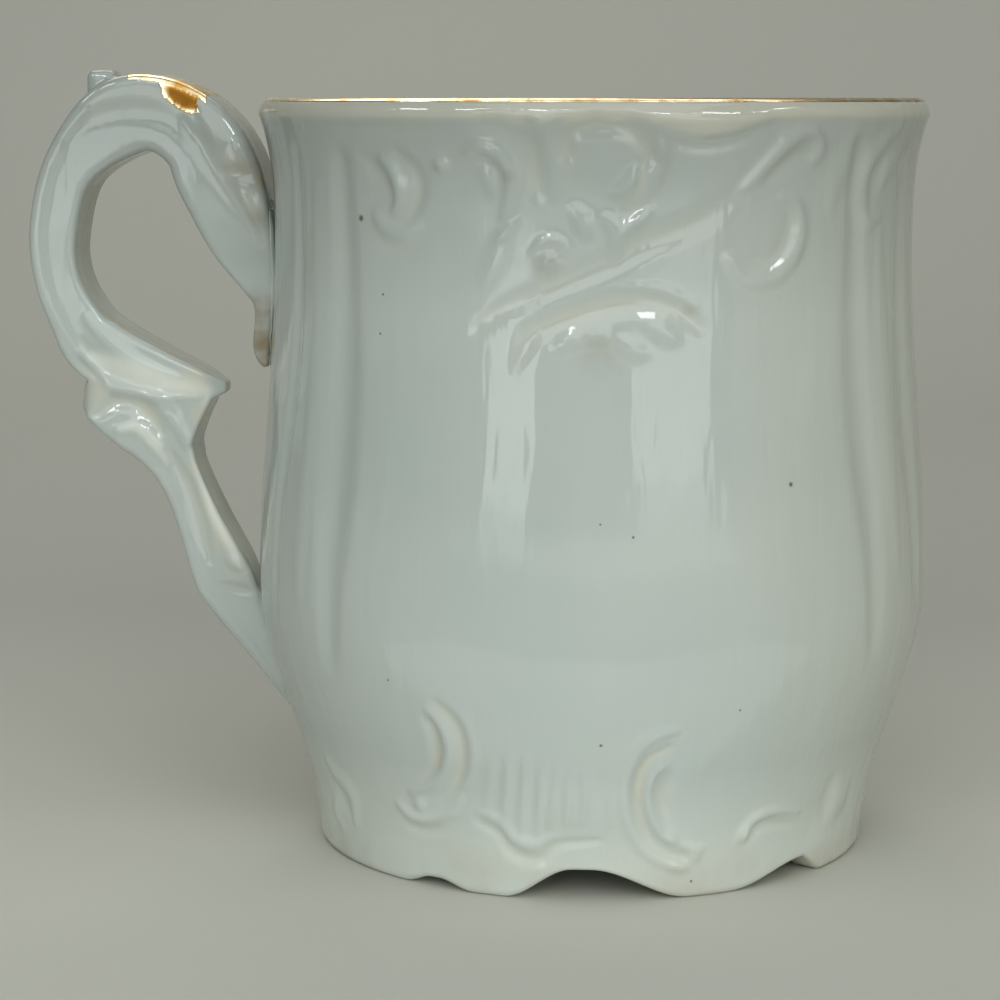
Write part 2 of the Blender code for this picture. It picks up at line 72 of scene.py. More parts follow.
# Rows of the turned wall: close together where the relief is
TURN_STEPS = 464
FINE_ROW = 0.3 * MM
WIDE_ROW = 0.9 * MM
UPPER_FRIEZE = 43.5 * MM
LOWER_FRIEZE = 17 * MM
CROWN_STEPS = 12
INNER_ROWS = 24
FLOOR_ROWS = 4
FILLET_STEPS = 6
FOOT_STEPS = 4
MERGE_DISTANCE = 0.000001

# Amounts too small to count
SMALLEST_WEIGHT = 0.0005
SMALLEST_RUN = 1e-9
SMALLEST_SLOPE = 1e-12

# Moulded relief. A stroke is its half width and its rise in millimetres, a groove where the rise is
# negative, then its points: degrees from the front and millimetres above the table
COMMA_SCROLL = (
    (0.95, -0.22, ((-36.2, 59.5), (-35.2, 59), (-32.7, 57.9), (-30.8, 56.8), (-30.2, 56))),
    (0.85, 0.56, ((-32.5, 59.4), (-30.6, 58.6), (-29.5, 57.4), (-29.3, 56.2), (-30.3, 55.2))),
    (0.95, -0.34, ((-29.5, 59.9), (-28, 59.3), (-25.7, 58.2), (-25.1, 56.9), (-26, 55.7), (-27.2, 54.8))),
    (1.05, 0.42, ((-34, 55), (-33.5, 54.5), (-31.7, 53.9), (-28.4, 53.6), (-25.8, 54.2))),
    (0.65, 0.5, ((-21.8, 59.2), (-20.2, 58.6))),
    (0.85, -0.14, ((-34.3, 52.6), (-29.3, 52.3), (-25, 53))),
)
SPIRAL_SCROLL = (
    (0.8, 0.5, ((-16.5, 59.9), (-15.5, 60.2), (-13.6, 60.3), (-11.5, 59.8), (-10, 59), (-9.3, 57.9),
                (-9.4, 56.4), (-10.2, 55))),
    (0.8, -0.16, ((-13.6, 59.3), (-12.1, 59.1), (-11.1, 58.6), (-10.6, 57.8), (-10.9, 56.6))),
    (0.8, 0.26, ((-13.4, 58.8), (-12.8, 57.9), (-12.2, 56.8))),
    (1.5, -0.32, ((-13.5, 62.2), (-11.5, 62.2), (-8.6, 61.7), (-6.4, 60.9), (-5.3, 59.6), (-4.8, 58.2),
                  (-4.8, 56.8))),
    (1.3, 0.18, ((-4.6, 61.8), (-2.5, 59.3), (-2, 56.7))),
    (0.45, 0.32, ((-11.9, 53.1), (-10.2, 53.7), (-8.4, 54.6))),
    (1.2, 0.2, ((-13.6, 49.6), (-12, 51.4), (-10.2, 53.4))),
)
ROUND_SCROLL = (
    (1.3, -0.5, ((0, 59.6), (0.1, 60.7), (0.9, 61.6), (2.9, 62.1), (7.2, 62.2), (10.7, 61.5),
                 (12.6, 60.2), (13, 59.2))),
    (1.0, 0.46, ((13, 61.9), (14.2, 61.2), (14.9, 60), (14.5, 58.8), (13.2, 57.4), (11.6, 56.3))),
    (0.95, -0.28, ((11.7, 59), (12.3, 57.4), (11.2, 56), (8.8, 55))),
    (0.9, 0.44, ((7.4, 56.9), (9, 57.1), (10.2, 57.8), (10.8, 58.7))),
    (0.7, 0.44, ((9.6, 53.9), (11.4, 54.7), (13.1, 55.6))),
    (2.6, 0.22, ((6, 59.4),)),
)
PEARLS = (
    (1.4, 0.5, ((-2.8, 51.6),)),
    (0.5, 0.4, ((-5.4, 52.3), (-4.4, 53), (-2.6, 53.3), (-0.7, 52.9), (0.1, 52.2))),
    (1.05, 0.42, ((1, 55.8), (2.4, 54.8), (3.2, 53.6))),
    (1.05, 0.44, ((6, 55), (7.6, 54.3), (8.2, 53.2), (7.6, 52))),
)
LONG_STEM = (
    (1.45, -0.18, ((-15, 46.2), (-10.7, 47.8), (-3.3, 49.4), (5, 51.2), (12.7, 53), (21.2, 54.6),
                   (26.5, 56.4), (31, 58.6), (34, 60.2))),
    (1.3, 0.1, ((-7.5, 47.2), (-0.2, 48.5), (7.6, 50.2), (15.4, 52.1))),
    (1.0, 0.46, ((29, 57), (33, 58.9), (36, 60.4), (39, 61.2), (41.8, 61.4))),
    (0.95, -0.28, ((33, 57.4), (36.6, 59), (40.9, 59.8))),
    (0.8, 0.36, ((42, 61.3), (43.5, 60.2), (42.3, 59))),
)
LOOP_SCROLL = (
    (1.05, 0.44, ((36.6, 56.5), (39.2, 55.8), (40.5, 54.4), (40.1, 52.9), (38.4, 51.5), (35.4, 50.3),
                  (31.5, 49.9), (29.1, 50.4), (27.2, 51.8))),
    (1.1, -0.2, ((37.8, 56), (38.2, 54.4), (37, 52.7), (34.5, 51.8), (31.3, 51.7))),
    (1.6, 0.24, ((51.2, 61.4), (50, 59.4), (48, 57.4), (47, 55.6))),
)
FAR_SCROLL = (
    (1.25, 0.42, ((65, 61.8), (60.6, 60.6), (57, 59), (55.4, 57.4), (55.4, 55.4), (57.6, 54.2),
                  (61.4, 54.6))),
    (1.15, -0.3, ((61, 59.2), (58.8, 57.6), (58.6, 56))),
    (1.15, 0.3, ((67.6, 60), (63.4, 58.6), (61.6, 57))),
    (1.2, -0.24, ((72, 59.6), (66.6, 57.6))),
)
BROW = (
    (1.35, -0.28, ((-8.2, 43.4), (-7.4, 44.4), (-5.3, 46.1), (-0.2, 47.4), (7.6, 48.4), (12.8, 48.6),
                   (18.1, 47.8), (21.8, 46.4))),
    (0.55, 0.18, ((8.1, 49.4), (12.8, 49.6), (17.5, 49), (20.8, 48))),
    (1.05, 0.32, ((-1.4, 44.9), (0.4, 45.5), (2, 45.6))),
    (0.95, 0.3, ((4.2, 45.7), (6.6, 46))),
    (1.15, 0.34, ((8.4, 45.6), (10.2, 45), (12.4, 44.6))),
    (1.1, 0.3, ((11.4, 47.1), (14.3, 46.7), (16.2, 46), (17.8, 45.6))),
    (1.6, 0.1, ((1, 46.2), (8, 46.6), (14, 46.2))),
)
LIP_SCALLOPS = (
    (0.5, 0.22, ((-9.5, 62.3), (-6.5, 62.1))),
    (0.5, 0.24, ((-4.6, 62.1), (-2.4, 62.4))),
    (0.55, 0.26, ((-0.4, 62.2), (3.4, 62.6))),
    (0.5, 0.22, ((5.4, 62.6), (9, 62.4))),
    (1.2, 0.44, ((12.5, 62.7), (17, 62.2), (21.5, 61.9), (26.5, 62.2), (31.5, 62.7))),
    (0.8, -0.24, ((13, 61.4), (17.5, 60.7), (21.5, 60.4), (26.5, 60.7), (31, 61.5))),
    (1.0, -0.2, ((33, 62), (38, 62.3), (46, 62.3), (51, 61.8))),
    (0.9, -0.14, ((-44, 61.6), (-30, 61.6), (-20, 61.6))),
)
LOWER_LEFT_SCROLL = (
    (0.75, 0.48, ((-23.6, 15.9), (-21.4, 14.6), (-20.8, 12.7), (-22.2, 10.8), (-25.5, 9.3), (-30.7, 8.2))),
    (0.8, -0.4, ((-24, 15.2), (-23.1, 13.8), (-23.2, 12.4), (-24.6, 10.8), (-27.5, 9.7))),
    (0.75, -0.34, ((-22, 16.6), (-20.3, 15.8), (-18.2, 14.3), (-18, 12.5), (-19.5, 10.4), (-21.8, 8.8),
                   (-24.6, 7.9))),
    (0.8, 0.24, ((-17.4, 16), (-16.4, 13.8), (-16.8, 11.6), (-18.6, 9.4))),
    (0.85, 0.42, ((-29.3, 7.2),)),
    (0.75, 0.46, ((-34.8, 7), (-32.3, 6.1), (-27.9, 6), (-22.9, 7), (-20, 8.3))),
    (0.6, -0.2, ((-34.5, 5.2), (-30, 4.8), (-25, 5.2), (-21.5, 6.2))),
)
SHELL_FAN = (
    (0.5, 0.34, ((-9.6, 12.9), (-10.8, 9.2), (-11.8, 6.6))),
    (0.5, 0.36, ((-6.8, 12.6), (-7.9, 8.2), (-8.8, 5.2))),
    (0.5, 0.36, ((-4, 12.3), (-4.8, 8.2), (-5.9, 5))),
    (0.52, 0.46, ((-1.6, 11.6), (-2.4, 8.3), (-3.1, 6.3))),
    (0.52, 0.48, ((0.6, 11.7), (0.3, 8.7), (0, 6.8))),
    (0.52, 0.46, ((3.4, 11.3), (3.3, 8.7), (2.6, 6.8))),
    (0.6, 0.18, ((7.2, 12), (7.6, 9.6), (8.2, 6.6))),
    (0.6, 0.16, ((-12.9, 12), (-15, 7.8))),
    (0.8, -0.4, ((-17, 6.4), (-13.1, 5.5), (-11.3, 4.2), (-8.1, 3.5), (-4.9, 3.5), (-2.8, 4.5),
                 (-0.5, 4.9), (5.7, 5.2))),
    (0.7, 0.3, ((-16.5, 7.4), (-12.6, 6.6), (-10.6, 5.3), (-8, 4.8), (-5.3, 4.8), (-3.4, 5.6))),
)
LOWER_RIGHT_SCROLL = (
    (0.95, 0.42, ((18.4, 14.9), (14.4, 14.3), (11.4, 12.8), (10.3, 10.6), (10.8, 8), (13, 5.4),
                  (16.9, 3.5), (22.4, 2.8))),
    (0.7, -0.46, ((17.7, 13.4), (14, 12.2), (12.5, 10.2), (13, 7.6), (15.5, 5.3), (19.3, 4), (22.7, 3.5))),
    (0.65, 0.52, ((16.9, 11.9), (14.9, 10.9), (14.3, 9.4), (15.4, 7.5), (17.8, 5.8), (21.7, 4.6),
                  (26, 4.1))),
    (1.0, -0.26, ((17.8, 10.8), (17.2, 9), (19.1, 7.1))),
    (0.8, 0.34, ((19.6, 5.4),)),
    (0.8, 0.34, ((24.6, 3.6),)),
    (0.7, 0.3, ((19.6, 2.8), (23.2, 2.5))),
)
SIDE_SHELLS = (
    (0.6, 0.38, ((33.7, 4.4), (35, 5.5), (37, 6.3), (41.4, 6.6), (47.8, 6))),
    (0.75, -0.32, ((36.2, 4.2), (37.6, 5.2), (41.5, 5.4), (46.5, 4.9))),
    (0.9, 0.42, ((34.9, 4.9),)),
    (2.2, 0.4, ((60.4, 6.8), (61.6, 5.4))),
    (1.3, -0.2, ((57, 8.4), (56.6, 6.2), (57.4, 4.4))),
    (1.1, 0.34, ((-55.8, 8.9), (-53.4, 7.8), (-50.1, 7.1), (-48.7, 5.9), (-49.8, 3.8))),
    (1.0, 0.22, ((-56.7, 5.7), (-57.9, 3.9), (-56.2, 2.8))),
    (1.0, -0.24, ((-54.1, 6.3), (-52.5, 4.5))),
)
PILASTERS = (
    (3.2, -0.46, ((-42, 59), (-42, 48), (-41.8, 42), (-41.8, 36), (-42.4, 31), (-43.2, 26), (-44, 19))),
    (1.5, -0.38, ((-56, 60), (-57, 48), (-57.5, 42), (-59, 36), (-61, 30), (-62.5, 22))),
    (2.2, 0.16, ((-50, 57), (-50.3, 46), (-50.6, 38), (-51.5, 31), (-52.5, 24))),
    (2.8, -0.4, ((53, 60), (53.9, 48), (54.2, 42), (54.8, 36.5), (56, 32), (57, 27), (57.8, 20))),
    (2.8, -0.42, ((71, 58), (71.6, 48), (71.8, 42), (72.4, 36), (73.5, 31), (74.5, 24))),
    (2.2, 0.16, ((62, 53), (62.6, 46), (63, 39), (63.8, 33), (64.8, 26))),
)
ORNAMENT = (
    COMMA_SCROLL + SPIRAL_SCROLL + ROUND_SCROLL + PEARLS + LONG_STEM + LOOP_SCROLL + FAR_SCROLL + BROW
    + LIP_SCALLOPS + LOWER_LEFT_SCROLL + SHELL_FAN + LOWER_RIGHT_SCROLL + SIDE_SHELLS
)
LINE_STEPS = 5
END_TAPER = 0.55
HALO = 1.8
HALO_CUT = 2  # how much of a stroke itself its creamy halo leaves out
GLAZE_SOFTENING = 0.72  # what the glaze leaves of the mould's relief
GLAZE_SPREAD = 1.16  # and how far it widens a stroke

# Openings between the foot's rounded lobes: where each starts, reaches its top, leaves it and ends, in
# degrees, and its height in millimetres
FOOT_SCALLOPS = ((-13, 0.6, 4.4, 24, 2.55), (-36, -29.2, -27.2, -19.5, 0.75), (33, 51.8, 52.2, 59, 1.6))
FOOT_SCALLOP_REACH = 7 * MM

# Iron specks in the glaze: degrees, millimetres up and radius in millimetres
SPECKS = (
    (-37.9, 54.6, 0.36), (-40.5, 46.3, 0.15), (-33.3, 45.6, 0.14), (-32.9, 48.7, 0.15), (37.5, 34, 0.26),
    (10.6, 30.5, 0.15), (5.5, 31.5, 0.11), (5.9, 13.7, 0.18), (-30.7, 18, 0.13), (29.2, 16.2, 0.13),
    (24.2, 1.4, 0.15),
)

# Handle, a moulded scroll in the plane through the cup's axis
HANDLE_PROJECTION = 18.3 * MM
LOOP_HEIGHT = 24 * MM
CREST_LINE = CUP_HEIGHT - 1.5 * MM
BAND_THICKNESS = 4.2 * MM
BAND_DEPTH = 6.2 * MM
LEAF_TIP = CUP_HEIGHT - 23.4 * MM
LEAF_TOP = CUP_HEIGHT - 6.8 * MM
LEAF_THICKNESS = 7.8 * MM
LEAF_DEPTH = 7.2 * MM
KNUCKLE_REACH = 15.4 * MM
KNUCKLE_LINE = CREST_LINE - LOOP_HEIGHT - 0.4 * MM
STEM_THICKNESS = 3.8 * MM
STEM_DEPTH = 4.6 * MM
STEM_SEAT = 22.4 * MM
TAIL_TIP = 10.5 * MM
NUB_PLACE = 0.77
NUB_SIZE = (2.6 * MM, 3.2 * MM)
NUB_TOP = CUP_HEIGHT + 2.4 * MM
NUB_EDGE = 0.6 * MM
NUB_EDGE_SEGMENTS = 3

# Middle line from crest to spur: shares of the projection out from the lip and of the loop's height
# down from the crest, then thickness and depth as shares of the band's
SCROLL_STATIONS = (
    (0.296, 0.076, 1.65, 1.12), (0.49, -0.006, 1.55, 1.06), (0.7, 0.022, 1.6, 1.02),
    (0.92, 0.19, 1.12, 1.0),
    (1.0, 0.41, 1.02, 1.0), (0.99, 0.58, 0.97, 1.0), (0.91, 0.73, 1.08, 1.0),
    (0.79, 0.85, 1.34, 1.0),
    (0.52, 0.94, 1.1, 0.92), (0.3, 0.98, 0.66, 0.72), (0.19, 0.985, 0.22, 0.34),
)
# Leaf down the wall: stand-off as a share of its thickness, place from tip to top, thickness, depth
LEAF_STATIONS = (
    (0.1, 0.0, 0.08, 0.16), (0.16, 0.1, 0.19, 0.28), (0.15, 0.3, 0.21, 0.36),
    (0.18, 0.42, 0.38, 0.56),
    (0.38, 0.68, 0.75, 0.9), (0.6, 1.0, 0.96, 1.0),
)
# Stem from knuckle to seat: shares of the way across and down, then thickness and depth
STEM_STATIONS = (
    (-0.06, 0.0, 0.6, 0.9), (0.03, 0.01, 1.12, 1.3), (0.21, 0.05, 1.53, 1.36),
    (0.47, 0.17, 1.74, 1.24),
    (0.66, 0.42, 1.05, 1.06), (0.83, 0.71, 1.03, 1.0),
)
# Fillet under the spur, in the stem's shares
FILLET_STATIONS = (
    (0.97, -0.09, 0.28, 0.6), (0.85, 0.0, 0.6, 0.95), (0.75, 0.1, 0.75, 1.08),
    (0.7, 0.23, 0.66, 1.12),
    (0.67, 0.4, 0.4, 1.04),
)
# Tail along the wall, as the leaf's but from the tail's tip to the stem's seat
TAIL_STATIONS = (
    (0.96, 1.0, 1.36, 1.0), (0.72, 0.8, 1.24, 0.92), (0.42, 0.5, 0.84, 0.76),
    (0.24, 0.22, 0.46, 0.56),
    (0.12, 0.0, 0.22, 0.34),
)
SPAN_STEPS = 5
SECTION_CORNER = 0.24
SECTION_SEGMENTS = 5
HANDLE_VOXEL = 0.17 * MM
HANDLE_SMOOTHING = 6
CARVING_SMOOTHING = 4
SMOOTH_FACTOR = 0.5
FACE_TURN = 0.8  # how squarely a face looks to the side before it is carved in full

# Carving on both faces of the handle: half width and rise in millimetres, then millimetres out from
# the cup's axis and up from the table
CREST_CARVING = (
    (1.8, -0.1, ((45.4, 60.4), (43.4, 62), (40.6, 62.7), (37.8, 62.6), (36, 61.8), (34.6, 60.2))),
)
LOOP_CARVING = (
    (1.3, 0.1, ((43.6, 63), (45.2, 61.2), (46.6, 59), (47.6, 56.4), (48.2, 53.4), (48.2, 50.4),
                (47.6, 47.4), (46.4, 44.6), (44.8, 42.2))),
)
LEAF_CARVING = (
    (1.3, -0.24, ((35, 62), (34, 60.6), (33, 58.8), (31.6, 56.7), (29.9, 54.2), (28.4, 51.6))),
    (1.9, 0.24, ((33.2, 62.8), (31.8, 60.8), (30.2, 58.4), (29, 55.8), (28.1, 53))),
    (0.9, 0.22, ((33.4, 62.4), (32.4, 61), (31.7, 59.8))),
    (0.8, 0.18, ((30.6, 60.4), (29.6, 59.2))),
    (0.75, 0.26, ((30.2, 56), (29.3, 54.6), (28.6, 53.2))),
    (0.6, 0.22, ((28.6, 55.6), (28, 54.2))),
    (1.1, -0.2, ((31.4, 57.8), (29.8, 57.6), (28, 57.8))),
)
ARM_CARVING = (
    (1.2, 0.3, ((44, 45), (42.4, 43.2), (40.8, 41.8), (38.6, 40.6), (36.2, 39.8))),
    (1.1, -0.26, ((44.4, 43), (42.6, 40.9), (40.4, 39.5), (37.8, 38.9))),
    (0.9, 0.18, ((44.6, 42), (42.8, 39.8), (40.6, 38.4), (37.4, 38), (34.8, 38))),
    (0.9, -0.34, ((44.9, 41.2), (43.8, 40.3), (42.8, 39.5))),
)
KNUCKLE_CARVING = (
    (1.4, -0.48, ((43.2, 36.6), (41.5, 37.7), (39.7, 37.5), (38.3, 36.3), (37.7, 35.1))),
    (1.1, 0.32, ((41.4, 35.2), (39.6, 35.3), (38.3, 34), (37.2, 32.4))),
    (0.9, 0.26, ((36.9, 36.5), (35.5, 34.4), (34.8, 33))),
)
STEM_CARVING = (
    (1.0, 0.22, ((38, 31.4), (36.6, 28.9), (35.6, 25.6), (34.4, 21.4), (32.4, 18.8), (29.7, 15.2),
                 (27.4, 11.8))),
    (1.05, -0.32, ((37, 33.3), (35.6, 30.8), (34.7, 28.4), (34.1, 25.9), (33.6, 23.6))),
    (1.15, 0.38, ((34.8, 33.3), (33.8, 30.2), (32.8, 27.3), (31.6, 24.9), (30.6, 23.1))),
    (0.9, 0.26, ((32, 23.8), (30.9, 23))),
    (0.9, -0.22, ((32.6, 21.4), (31.1, 21), (29.7, 20.8))),
)
HANDLE_CARVING = CREST_CARVING + LOOP_CARVING + LEAF_CARVING + ARM_CARVING + KNUCKLE_CARVING + STEM_CARVING

HANDLE_TINT = 0.7  # how creamy the carving's hollows are
# Brown stain in the handle's hollows: millimetres out, up and radius, and its strength; the last three, at
# the leaf's tip, are partly stain and partly painted shade between the tip and the wall
STAINS = (
    (29.6, 57.8, 2.6, 0.5), (28.2, 57.2, 2.2, 0.6), (28.6, 53.6, 1.6, 0.4), (28.8, 45.2, 3.0, 1.0),
    (29, 43, 3.0, 1.0), (28.8, 41, 2.8, 1.0),
)
# Where the handle's glaze is creamy, given in the same way
CREAM_MARKS = (
    (34.4, 32, 1.8, 1), (33.2, 28.6, 1.9, 1), (32, 25.4, 2.2, 1), (30.8, 23, 2.4, 1), (43.6, 38.4, 2.6, 1),
    (33.8, 36.5, 1.8, 1), (35, 39.6, 2.2, 1), (32.4, 61.4, 2.6, 1), (30.6, 58.8, 2.4, 1), (29.2, 55, 2.0, 1),
    (38, 64.4, 2.2, 0.7), (42, 63.4, 2.4, 0.7),
)
# Ridges of the handle's glaze with a painted highlight: half width, share, then millimetres out and up
HIGHLIGHT_RIDGES = (
    (1.8, 0.9, ((43.4, 41.6), (40.4, 40.6), (37, 39.4), (33.6, 38.6))),
    (1.3, 0.9, ((34.8, 33.3), (33.8, 30.2), (32.8, 27.3), (31.6, 24.9), (30.4, 22.9))),
    (1.1, 0.6, ((41.2, 35.2), (39.6, 35.3), (38.3, 34), (37.2, 32.4))),
)
# Side faces of the handle get thin glaze and painted shade
EDGE_TURN = 0.75  # how squarely a face looks to the side where its glaze is no longer thin
# Creamy glaze on the lip: how far down it runs, and its strength on the scallops under the lip
LIP_BAND = 0.5 * MM
LIP_TONGUES = 2.2
# Cream-brown stain in the wall's relief: degrees, millimetres up, radius and strength
WALL_STAINS = (
    (-2.8, 51.5, 1.4, 0.35), (5.5, 44.8, 2.8, 0.22), (14.2, 59.6, 1.3, 0.3), (20, 47.9, 1.0, 0.35),
    (-9.4, 58.1, 0.9, 0.4),
)

# Slip pressed out between handle and wall
SLIP_FLARE = 0.12 * MM
SLIP_REACH = 0.55 * MM
SLIP_BITE = 0.15 * MM
SLIP_VOXEL = 0.16 * MM
SLIP_SMOOTHING = 5
GUIDE_ROWS = 48
GUIDE_STEPS = 180

# Gilding: a film on the lip's crown, browner to the right as browned gold and painted shade, and what is
# left on the handle's crest
FILM = 0.02 * MM
RIM_GILT_DEPTH = 0.3 * MM
RIM_BROWNING_AND_SHADE = 0.5
RIM_BROWNING_AND_SHADE_MIDDLE = 0.5
# The stroke's ends, millimetres out from the axis, how far its faces look up, and the drip's outline
GILT_STROKE = (33.0, 40.0)
GILT_STROKE_SLOPE = 0.34
GILT_DRIP = ((37.3, 65.6), (36.9, 64), (35.7, 63.1), (34.4, 62.5), (33.5, 62.7), (33.8, 64), (33.3, 65))
GILT_SMOOTHING = 3
GILT_OFFSET = 0.6
# Strips across the handle's gold, its bright upper and lower edges and how they fade, in millimetres; the
# gold between them is painted dark amber as browned gold and painted shade
GILT_STRIP = 0.3
STROKE_BRIGHT = 0.45
STROKE_FADE = 0.3
DRIP_BRIGHT = 0.15
DRIP_FADE = 0.4
DRIP_LEFT = 36.9
DRIP_LEFT_FADE = 0.8

# Glaze and gold colours
GLAZE = (0.515, 0.56, 0.525)
GLAZE_COOL = (0.48, 0.535, 0.508)
GLAZE_CREAM = (0.58, 0.56, 0.45)
# Painted shade: the glaze darkens towards the top, under the lip and on the handle's crest
GLAZE_SHADE = (0.305, 0.332, 0.312)
GLAZE_STAIN = (0.26, 0.17, 0.07)
# Thin glaze with painted shade on the handle's side faces
GLAZE_THIN_AND_SHADE = (0.4, 0.39, 0.31)
# Painted light: the glaze lighter towards the foot
GLAZE_FOOT_LIGHT = (0.7, 0.745, 0.69)
# Painted highlight on the handle's ridges
GLAZE_HIGHLIGHT = (0.82, 0.84, 0.76)
# Painted warm light on the cup's right side
GLAZE_WARM_LIGHT = (0.525, 0.548, 0.485)
GLAZE_POOL = (0.6, 0.585, 0.48)
SPECK_COLOUR = (0.14, 0.11, 0.08)
SPECK_CORE = 0.3
GOLD = (1.0, 0.9, 0.6)
GOLD_DARK = (0.55, 0.32, 0.09)
# Dark amber for browned gold and painted shade on the gilding
GOLD_AMBER_AND_SHADE = (0.2, 0.085, 0.012)
# Mottling: cycles a metre and detail of the noise, the values it runs between and what they become
CLOUDS = (55.0, 3.0, 0.35, 0.65, 0.0, 1.0)
POOLING = (240.0, 2.0, 0.3, 0.7, 0.4, 1.0)
BLOTCHES = (130.0, 4.0, 0.42, 0.66, 0.0, 1.0)
THINNING_AND_SHADE = (220.0, 3.0, 0.3, 0.7, 0.35, 0.9)
STAINING = (420.0, 4.0, 0.3, 0.62, 0.2, 0.85)
GLOSS = (300.0, 3.0, 0.3, 0.7, 0.05, 0.11)
TARNISH = (500.0, 4.0, 0.46, 0.68, 0.0, 1.0)
RUB_NOISE = (900.0, 5.0)
RUB_EDGE = 0.05
GOLD_ROUGHNESS = (0.16, 0.34)
# Where the glaze changes along an axis: from, to, and the shares there where they aren't 0 and 1
# Painted warm light towards the cup's right side
WARM_LIT_SIDE = (AXIS_X + 10 * MM, AXIS_X + 26 * MM, 0.0, 0.8)
# Painted light towards the foot
FOOT_LIGHT_FADE = (11 * MM, 3 * MM)
LOW_FOOT = (4.5 * MM, 0.5 * MM)
# Painted shade towards the top
SHADE_FADE = (WAIST_LINE - 5 * MM, WAIST_LINE + 9 * MM)
# Fine unevenness of the glaze: a ripple, and upright streaks that fray its reflections
GLAZE_IOR = 1.5
RIPPLE_NOISE = (190.0, 3.0)
RIPPLE_STRENGTH = 0.42
RIPPLE_HEIGHT = 0.08 * MM
STREAK_NOISE = (600.0, 2.0)
STREAK_STRENGTH = 0.5
STREAK_HEIGHT = 0.17 * MM
STREAK_STRETCH = (1.0, 1.0, 0.16)

# Floor that sweeps up behind the cup, painted darker behind the cup as shade
FLOOR_COLOUR = (0.615, 0.615, 0.545)
SHADED_BACKDROP_COLOUR = (0.46, 0.46, 0.415)
BACKDROP_SHADE_FADE = (-0.03, 0.1)
FLOOR_ROUGHNESS = 0.85
FLOOR_SIDE = 2.4
SWEEP_BACK = 0.62
SWEEP_RISE = 0.9
SWEEP_ROUND = 0.3
SWEEP_SEGMENTS = 24

# Lamps: name, degrees round from the camera's side, metres away and up, size, radiance and colour, then
# the height it looks at, if not the usual one, and whether it shows as shine alone
AIM = 0.03
CARD_AIM = 5.0
DAYLIGHT = (0.96, 1.0, 1.0)
SKYLIGHT = (0.97, 1.0, 1.0)
CARD_WHITE = (0.97, 1.0, 0.99)
LEFT_PANE = (0.95, 1.0, 1.0)
RIGHT_PANE = (0.98, 1.0, 0.97)
SKY_BEARINGS = (-72, -46, -22, 20, 44, 68)
LAMPS = (
    ("overhead", 0, 0.45, 1.1, (1.2, 1.0), 1.1, DAYLIGHT),
    ("room", 0, 1.6, 0.85, (3.0, 0.9), 0.35, DAYLIGHT),
    ("front", 2, 0.9, 0.46, (1.2, 0.5), 1.7, DAYLIGHT),
    *(("sky", bearing, 0.9, 0.68, (0.2, 0.13), 14.0, SKYLIGHT, AIM, True) for bearing in SKY_BEARINGS),
    ("back_sky", 180, 0.6, 0.75, (0.9, 0.5), 3.0, (1.0, 0.98, 0.92), CUP_HEIGHT, True),
    ("floor_card", 0, 0.33, 0.001, (0.8, 0.45), 0.4, CARD_WHITE, CARD_AIM),
    ("near_card", 0, 0.051, 0.0005, (0.14, 0.038), 0.5, CARD_WHITE, CARD_AIM),
    ("left_window", -29, 0.55, 0.072, (0.13, 0.096), 2.7, LEFT_PANE),
    ("left_sill", -29, 0.55, 0.012, (0.13, 0.024), 1.0, LEFT_PANE),
    ("right_window", 26, 0.55, 0.085, (0.25, 0.08), 2.2, RIGHT_PANE),
    ("right_sill", 26, 0.55, 0.031, (0.25, 0.028), 1.3, RIGHT_PANE),
    ("right_fill", 62, 0.8, 0.25, (0.6, 0.4), 0.32, (1.0, 0.86, 0.64)),
    ("back_left", -165, 0.5, 0.45, (0.35, 0.2), 2.5, (1.0, 0.97, 0.88), CUP_HEIGHT),
)
BACK_LAMP = ("back", 180, 0.55, 0.28, (0.5, 0.25), 2.6, (0.98, 1.0, 0.99))
WORLD_COLOUR = (0.95, 0.96, 0.93, 1.0)
WORLD_STRENGTH = 0.16

# Camera: the photograph's viewpoint, level with the rim
PHOTO_SIDE = 1000
FOCAL_PIXELS = 2700
SENSOR = 36.0
CAMERA_TURN = math.radians(6)
CAMERA_DISTANCE = 233.92 * MM
CAMERA_LEFT = 7.97 * MM
PITCH_PIXELS = 402
CAMERA_PITCH = math.atan(PITCH_PIXELS / FOCAL_PIXELS)


def ease(share):
    """Smooth step from 0 to 1 that is level at both ends."""
    share = np.clip(share, 0.0, 1.0)
    return share * share * (3 - 2 * share)


def wall_radius(height):
    """Outside radius of the plain wall at a height."""
    to_belly = (BELLY_RADIUS - FOOT_RADIUS) * ease(height / BELLY_LINE)
    to_waist = (WAIST_RADIUS - BELLY_RADIUS) * ease((height - BELLY_LINE) / (WAIST_LINE - BELLY_LINE))
    rise = np.clip((height - WAIST_LINE) / (LIP_LINE - WAIST_LINE), 0.0, 1.0)
    return FOOT_RADIUS + to_belly + to_waist + (LIP_RADIUS - WAIST_RADIUS) * rise ** FLARE_POWER


def set_mode(mode):
    """Goes to edit mode or object mode."""
    bpy.ops.object.mode_set(mode=mode)


def clear_selection():
    """Object mode with nothing selected."""
    if bpy.context.object and bpy.context.object.mode != "OBJECT":
        set_mode("OBJECT")
    bpy.ops.object.select_all(action="DESELECT")


def pick(obj):
    """Selects one object and makes it active."""
    clear_selection()
    obj.select_set(True)
    bpy.context.view_layer.objects.active = obj


def apply_modifier(obj, kind, **settings):
    """Adds a modifier with its settings and applies it."""
    pick(obj)
    modifier = obj.modifiers.new(kind.title(), kind)
    for key, value in settings.items():
        setattr(modifier, key, value)
    bpy.ops.object.modifier_apply(modifier=modifier.name)


def vectors(items, key):
    """A three-part property of many mesh elements, as an array."""
    values = np.empty(len(items) * 3)
    items.foreach_get(key, values)
    return values.reshape(-1, 3)


